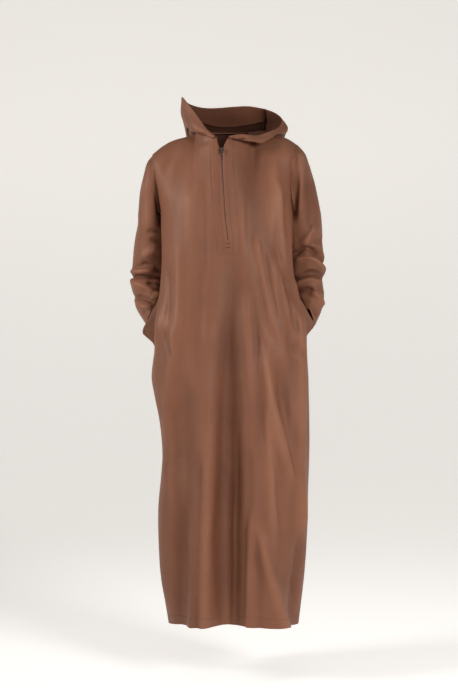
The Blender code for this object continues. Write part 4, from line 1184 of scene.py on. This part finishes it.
class THOBE_OT_hood(Operator):
    """Make both halves of the hood, worn down, with the turned hem of its rim"""

    bl_idname = "thobe.hood"
    bl_label = "Hood"

    def execute(self, context):
        hem = context.scene.thobe_cloth.hood_hem
        for side, word in ((-1, "right"), (1, "left")):
            node = f"hood_{word}_panel"
            grid = skin_grid(node)
            along = measured(grid, 0)
            across = measured(grid, 1)
            step_up, step = mesh_steps("hood")
            up = fine_places(along[-1], step_up, hem_details(hem))
            over = fine_places(across[-1], step, NEAR_EDGE + FAR_EDGE)
            points = across_columns(through(grid, along, up), across, over)
            normals = facing(points)
            push = relief_round(points, normals, *HOOD_CREASES) + uneven(points, "hood", side)
            push *= smooth_step(up[:, None] / 0.02) * smooth_step((up[-1] - up[:, None]) / 0.02)
            push *= smooth_step(np.minimum(over, over[-1] - over)[None, :] / 0.012)
            push -= hem_groove(up, hem)
            points = points + normals * push[..., None]
            normals = facing(points)
            row = nearest(up, hem)
            line, outward = points[row], normals[row]
            inside = line - outward * (2 * HEM_TURN + 0.0002)
            sewn = stitching(f"hood_{word}_stitching", [(line, outward), (inside, -outward)])
            crown, front = ("last", "first") if side < 0 else ("first", "last")
            edges = {"bottom": ("hem", hem), crown: ("seam", 0.0045), front: ("seam", 0.0010)}
            dressed(
                node, (points, normals, push), (up, over), edges,
            )
        return {"FINISHED"}


class THOBE_OT_pockets(Operator):
    """Make the pocket bags that show in the pocket mouths"""

    bl_idname = "thobe.pockets"
    bl_label = "Pocket bags"

    def execute(self, context):
        for word in ("right", "left"):
            node = f"pocket_bag_{word}"
            mesh = in_quads(node, 30.0, 1)
            mesh.normal_update()
            for vertex in mesh.verts:
                wave = noise.noise(vertex.co / BAG_WAVE[0]) * BAG_WAVE[1]
                vertex.co = vertex.co + vertex.normal * wave
            bag = piece_from(f"{node}_cloth", mesh)
            softened = bag.modifiers.new("soft", "SUBSURF")
            softened.levels = softened.render_levels = 1
            worn(bag, pocket_material(), "bag_cloth", node)
        return {"FINISHED"}


class THOBE_OT_zip(Operator):
    """Dress the zip: its tapes, its teeth and the metal of its slider and tab"""

    bl_idname = "thobe.zip"
    bl_label = "Zip"

    def execute(self, context):
        for name in ("zip_slider", "zip_pull_tab"):
            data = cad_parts[name].data
            data.materials.clear()
            data.materials.append(metal_material())
        for word in ("right", "left"):
            self.tape(word)
        self.teeth(context.scene.thobe_zip.tooth_pitch)
        return {"FINISHED"}

    def tape(self, word):
        """A woven tape in its CAD solid's form, moved a little back and down."""
        node = f"zip_tape_{word}"
        mesh = in_quads(node, 20.0, 2)
        bmesh.ops.translate(mesh, verts=mesh.verts[:], vec=TAPE_BACK)
        worn(piece_from(f"{node}_weave", mesh), tape_material(), "zip_tape", node)

    def teeth(self, pitch):
        """The closed run of teeth, each side's between those of the other."""
        mesh = node_mesh("zip_chain")
        spots = sorted((vertex.co.copy() for vertex in mesh.verts), key=lambda spot: spot.z)
        mesh.free()
        line = np.array(spots).reshape(-1, 4, 3).mean(axis=1)
        walked = np.concatenate([[0.0], np.cumsum(np.linalg.norm(np.diff(line, axis=0), axis=1))])
        row = bmesh.new()
        for index, place in enumerate(np.arange(pitch, walked[-1] - pitch, pitch / 2)):
            here, ahead = (
                Vector([np.interp(spot, walked, column) for column in line.T])
                for spot in (place, place + 0.001)
            )
            run = (ahead - here).normalized()
            across = run.cross(Vector((0.0, -1.0, 0.0))).normalized()
            turn = Matrix((across * TOOTH[0], run * TOOTH[1], across.cross(run) * TOOTH[2]))
            turn = turn.transposed().to_4x4()
            turn.translation = here + across * (TOOTH_OFF if index % 2 else -TOOTH_OFF)
            bmesh.ops.create_icosphere(row, subdivisions=1, radius=1.0, matrix=turn)
        worn(piece_from("zip_teeth", row), teeth_material(), "zip_chain", "zip_chain")


class THOBE_OT_stage(Operator):
    """Set the floor, the backdrop, the lights and the camera"""

    bl_idname = "thobe.stage"
    bl_label = "Studio"

    def execute(self, context):
        settings = context.scene.thobe_stage
        self.backdrop(settings)
        self.lights(settings)
        camera = bpy.data.cameras.new("camera")
        camera.sensor_width = 36.0
        camera.lens = 18.0 / (settings.seen_height / 2.0 / settings.eye_distance)
        eye = placed("camera", camera)
        eye.location = (0.0025, -settings.eye_distance, settings.eye_height)
        eye.rotation_euler = (math.radians(90.0), 0.0, 0.0)
        context.scene.camera = eye
        context.scene.view_settings.view_transform = "Standard"
        return {"FINISHED"}

    def backdrop(self, settings):
        """A floor that curves up into the wall behind."""
        mesh = bmesh.new()
        bmesh.ops.create_grid(mesh, x_segments=1, y_segments=40, size=1.0)
        for vertex in mesh.verts:
            way = (vertex.co.y + 1.0) / 2.0
            run = way * PAPER_LENGTH + PAPER_START
            bend = max(run - PAPER_BEND, 0.0)
            turn = min(bend / PAPER_RADIUS, math.pi / 2)
            rise = PAPER_RADIUS * (1.0 - math.cos(turn)) + max(bend - PAPER_RADIUS * math.pi / 2, 0.0)
            ahead = min(run, PAPER_BEND) + PAPER_RADIUS * math.sin(turn)
            vertex.co = (vertex.co.x * PAPER_HALF, ahead, settings.floor + rise)
        backdrop = piece_from("backdrop", mesh)
        finish = Finish("pale paper", (0.86, 0.84, 0.82), {
            "Roughness": 0.9, "Specular IOR Level": 0.1, "Emission Color": (0.98, 0.94, 0.89, 1.0),
            "Emission Strength": settings.paper_glow,
        })
        grain = finish.cloud(finish.place(), 1.5, 2.0)
        tones = opaque((0.735, 0.722, 0.705)), opaque((0.750, 0.737, 0.720))
        finish.apply("Base Color", finish.mixed(grain, *tones))
        backdrop.data.materials.append(finish.material)

    def lights(self, settings):
        """The three lamps and the room's faint light."""
        world = bpy.data.worlds.new("studio")
        world.use_nodes = True
        background = world.node_tree.nodes["Background"]
        background.inputs["Color"].default_value = WORLD_COLOUR
        background.inputs["Strength"].default_value = WORLD_STRENGTH
        bpy.context.scene.world = world
        for name, (place, aim, size, power, spread) in LAMPS.items():
            lamp = bpy.data.lights.new(name, "AREA")
            lamp.size = size
            lamp.energy = settings.light * power
            lamp.spread = math.radians(spread)
            light = placed(name, lamp)
            light.location = place
            light.rotation_euler = (Vector(aim) - Vector(place)).to_track_quat("-Z", "Y").to_euler()


class THOBE_PT_sidebar(Panel):
    """Lists the thobe's sizes, colours and pieces"""

    bl_label = "Thobe"
    bl_idname = "THOBE_PT_sidebar"
    bl_space_type = "VIEW_3D"
    bl_region_type = "UI"
    bl_category = "Thobe"

    def draw(self, context):
        layout = self.layout
        for settings in (context.scene.thobe_cloth, context.scene.thobe_zip, context.scene.thobe_stage):
            column = layout.column(align=True)
            for name in settings.__annotations__:
                column.prop(settings, name)
        for operator in OPERATORS:
            layout.operator(operator.bl_idname)


SETTINGS = (ThobeCloth, ThobeZip, ThobeStage)
OPERATORS = (
    THOBE_OT_front_and_back, THOBE_OT_sleeves, THOBE_OT_hood, THOBE_OT_pockets, THOBE_OT_zip,
    THOBE_OT_stage,
)


def register():
    for kind in SETTINGS + OPERATORS + (THOBE_PT_sidebar,):
        bpy.utils.register_class(kind)
    bpy.types.Scene.thobe_cloth = PointerProperty(type=ThobeCloth)
    bpy.types.Scene.thobe_zip = PointerProperty(type=ThobeZip)
    bpy.types.Scene.thobe_stage = PointerProperty(type=ThobeStage)


def unregister():
    del bpy.types.Scene.thobe_stage
    del bpy.types.Scene.thobe_zip
    del bpy.types.Scene.thobe_cloth
    for kind in reversed(SETTINGS + OPERATORS + (THOBE_PT_sidebar,)):
        bpy.utils.unregister_class(kind)


def main():
    register()
    bpy.ops.thobe.front_and_back()
    bpy.ops.thobe.sleeves()
    bpy.ops.thobe.hood()
    bpy.ops.thobe.pockets()
    bpy.ops.thobe.zip()
    bpy.ops.thobe.stage()


if __name__ == "__main__":
    main()
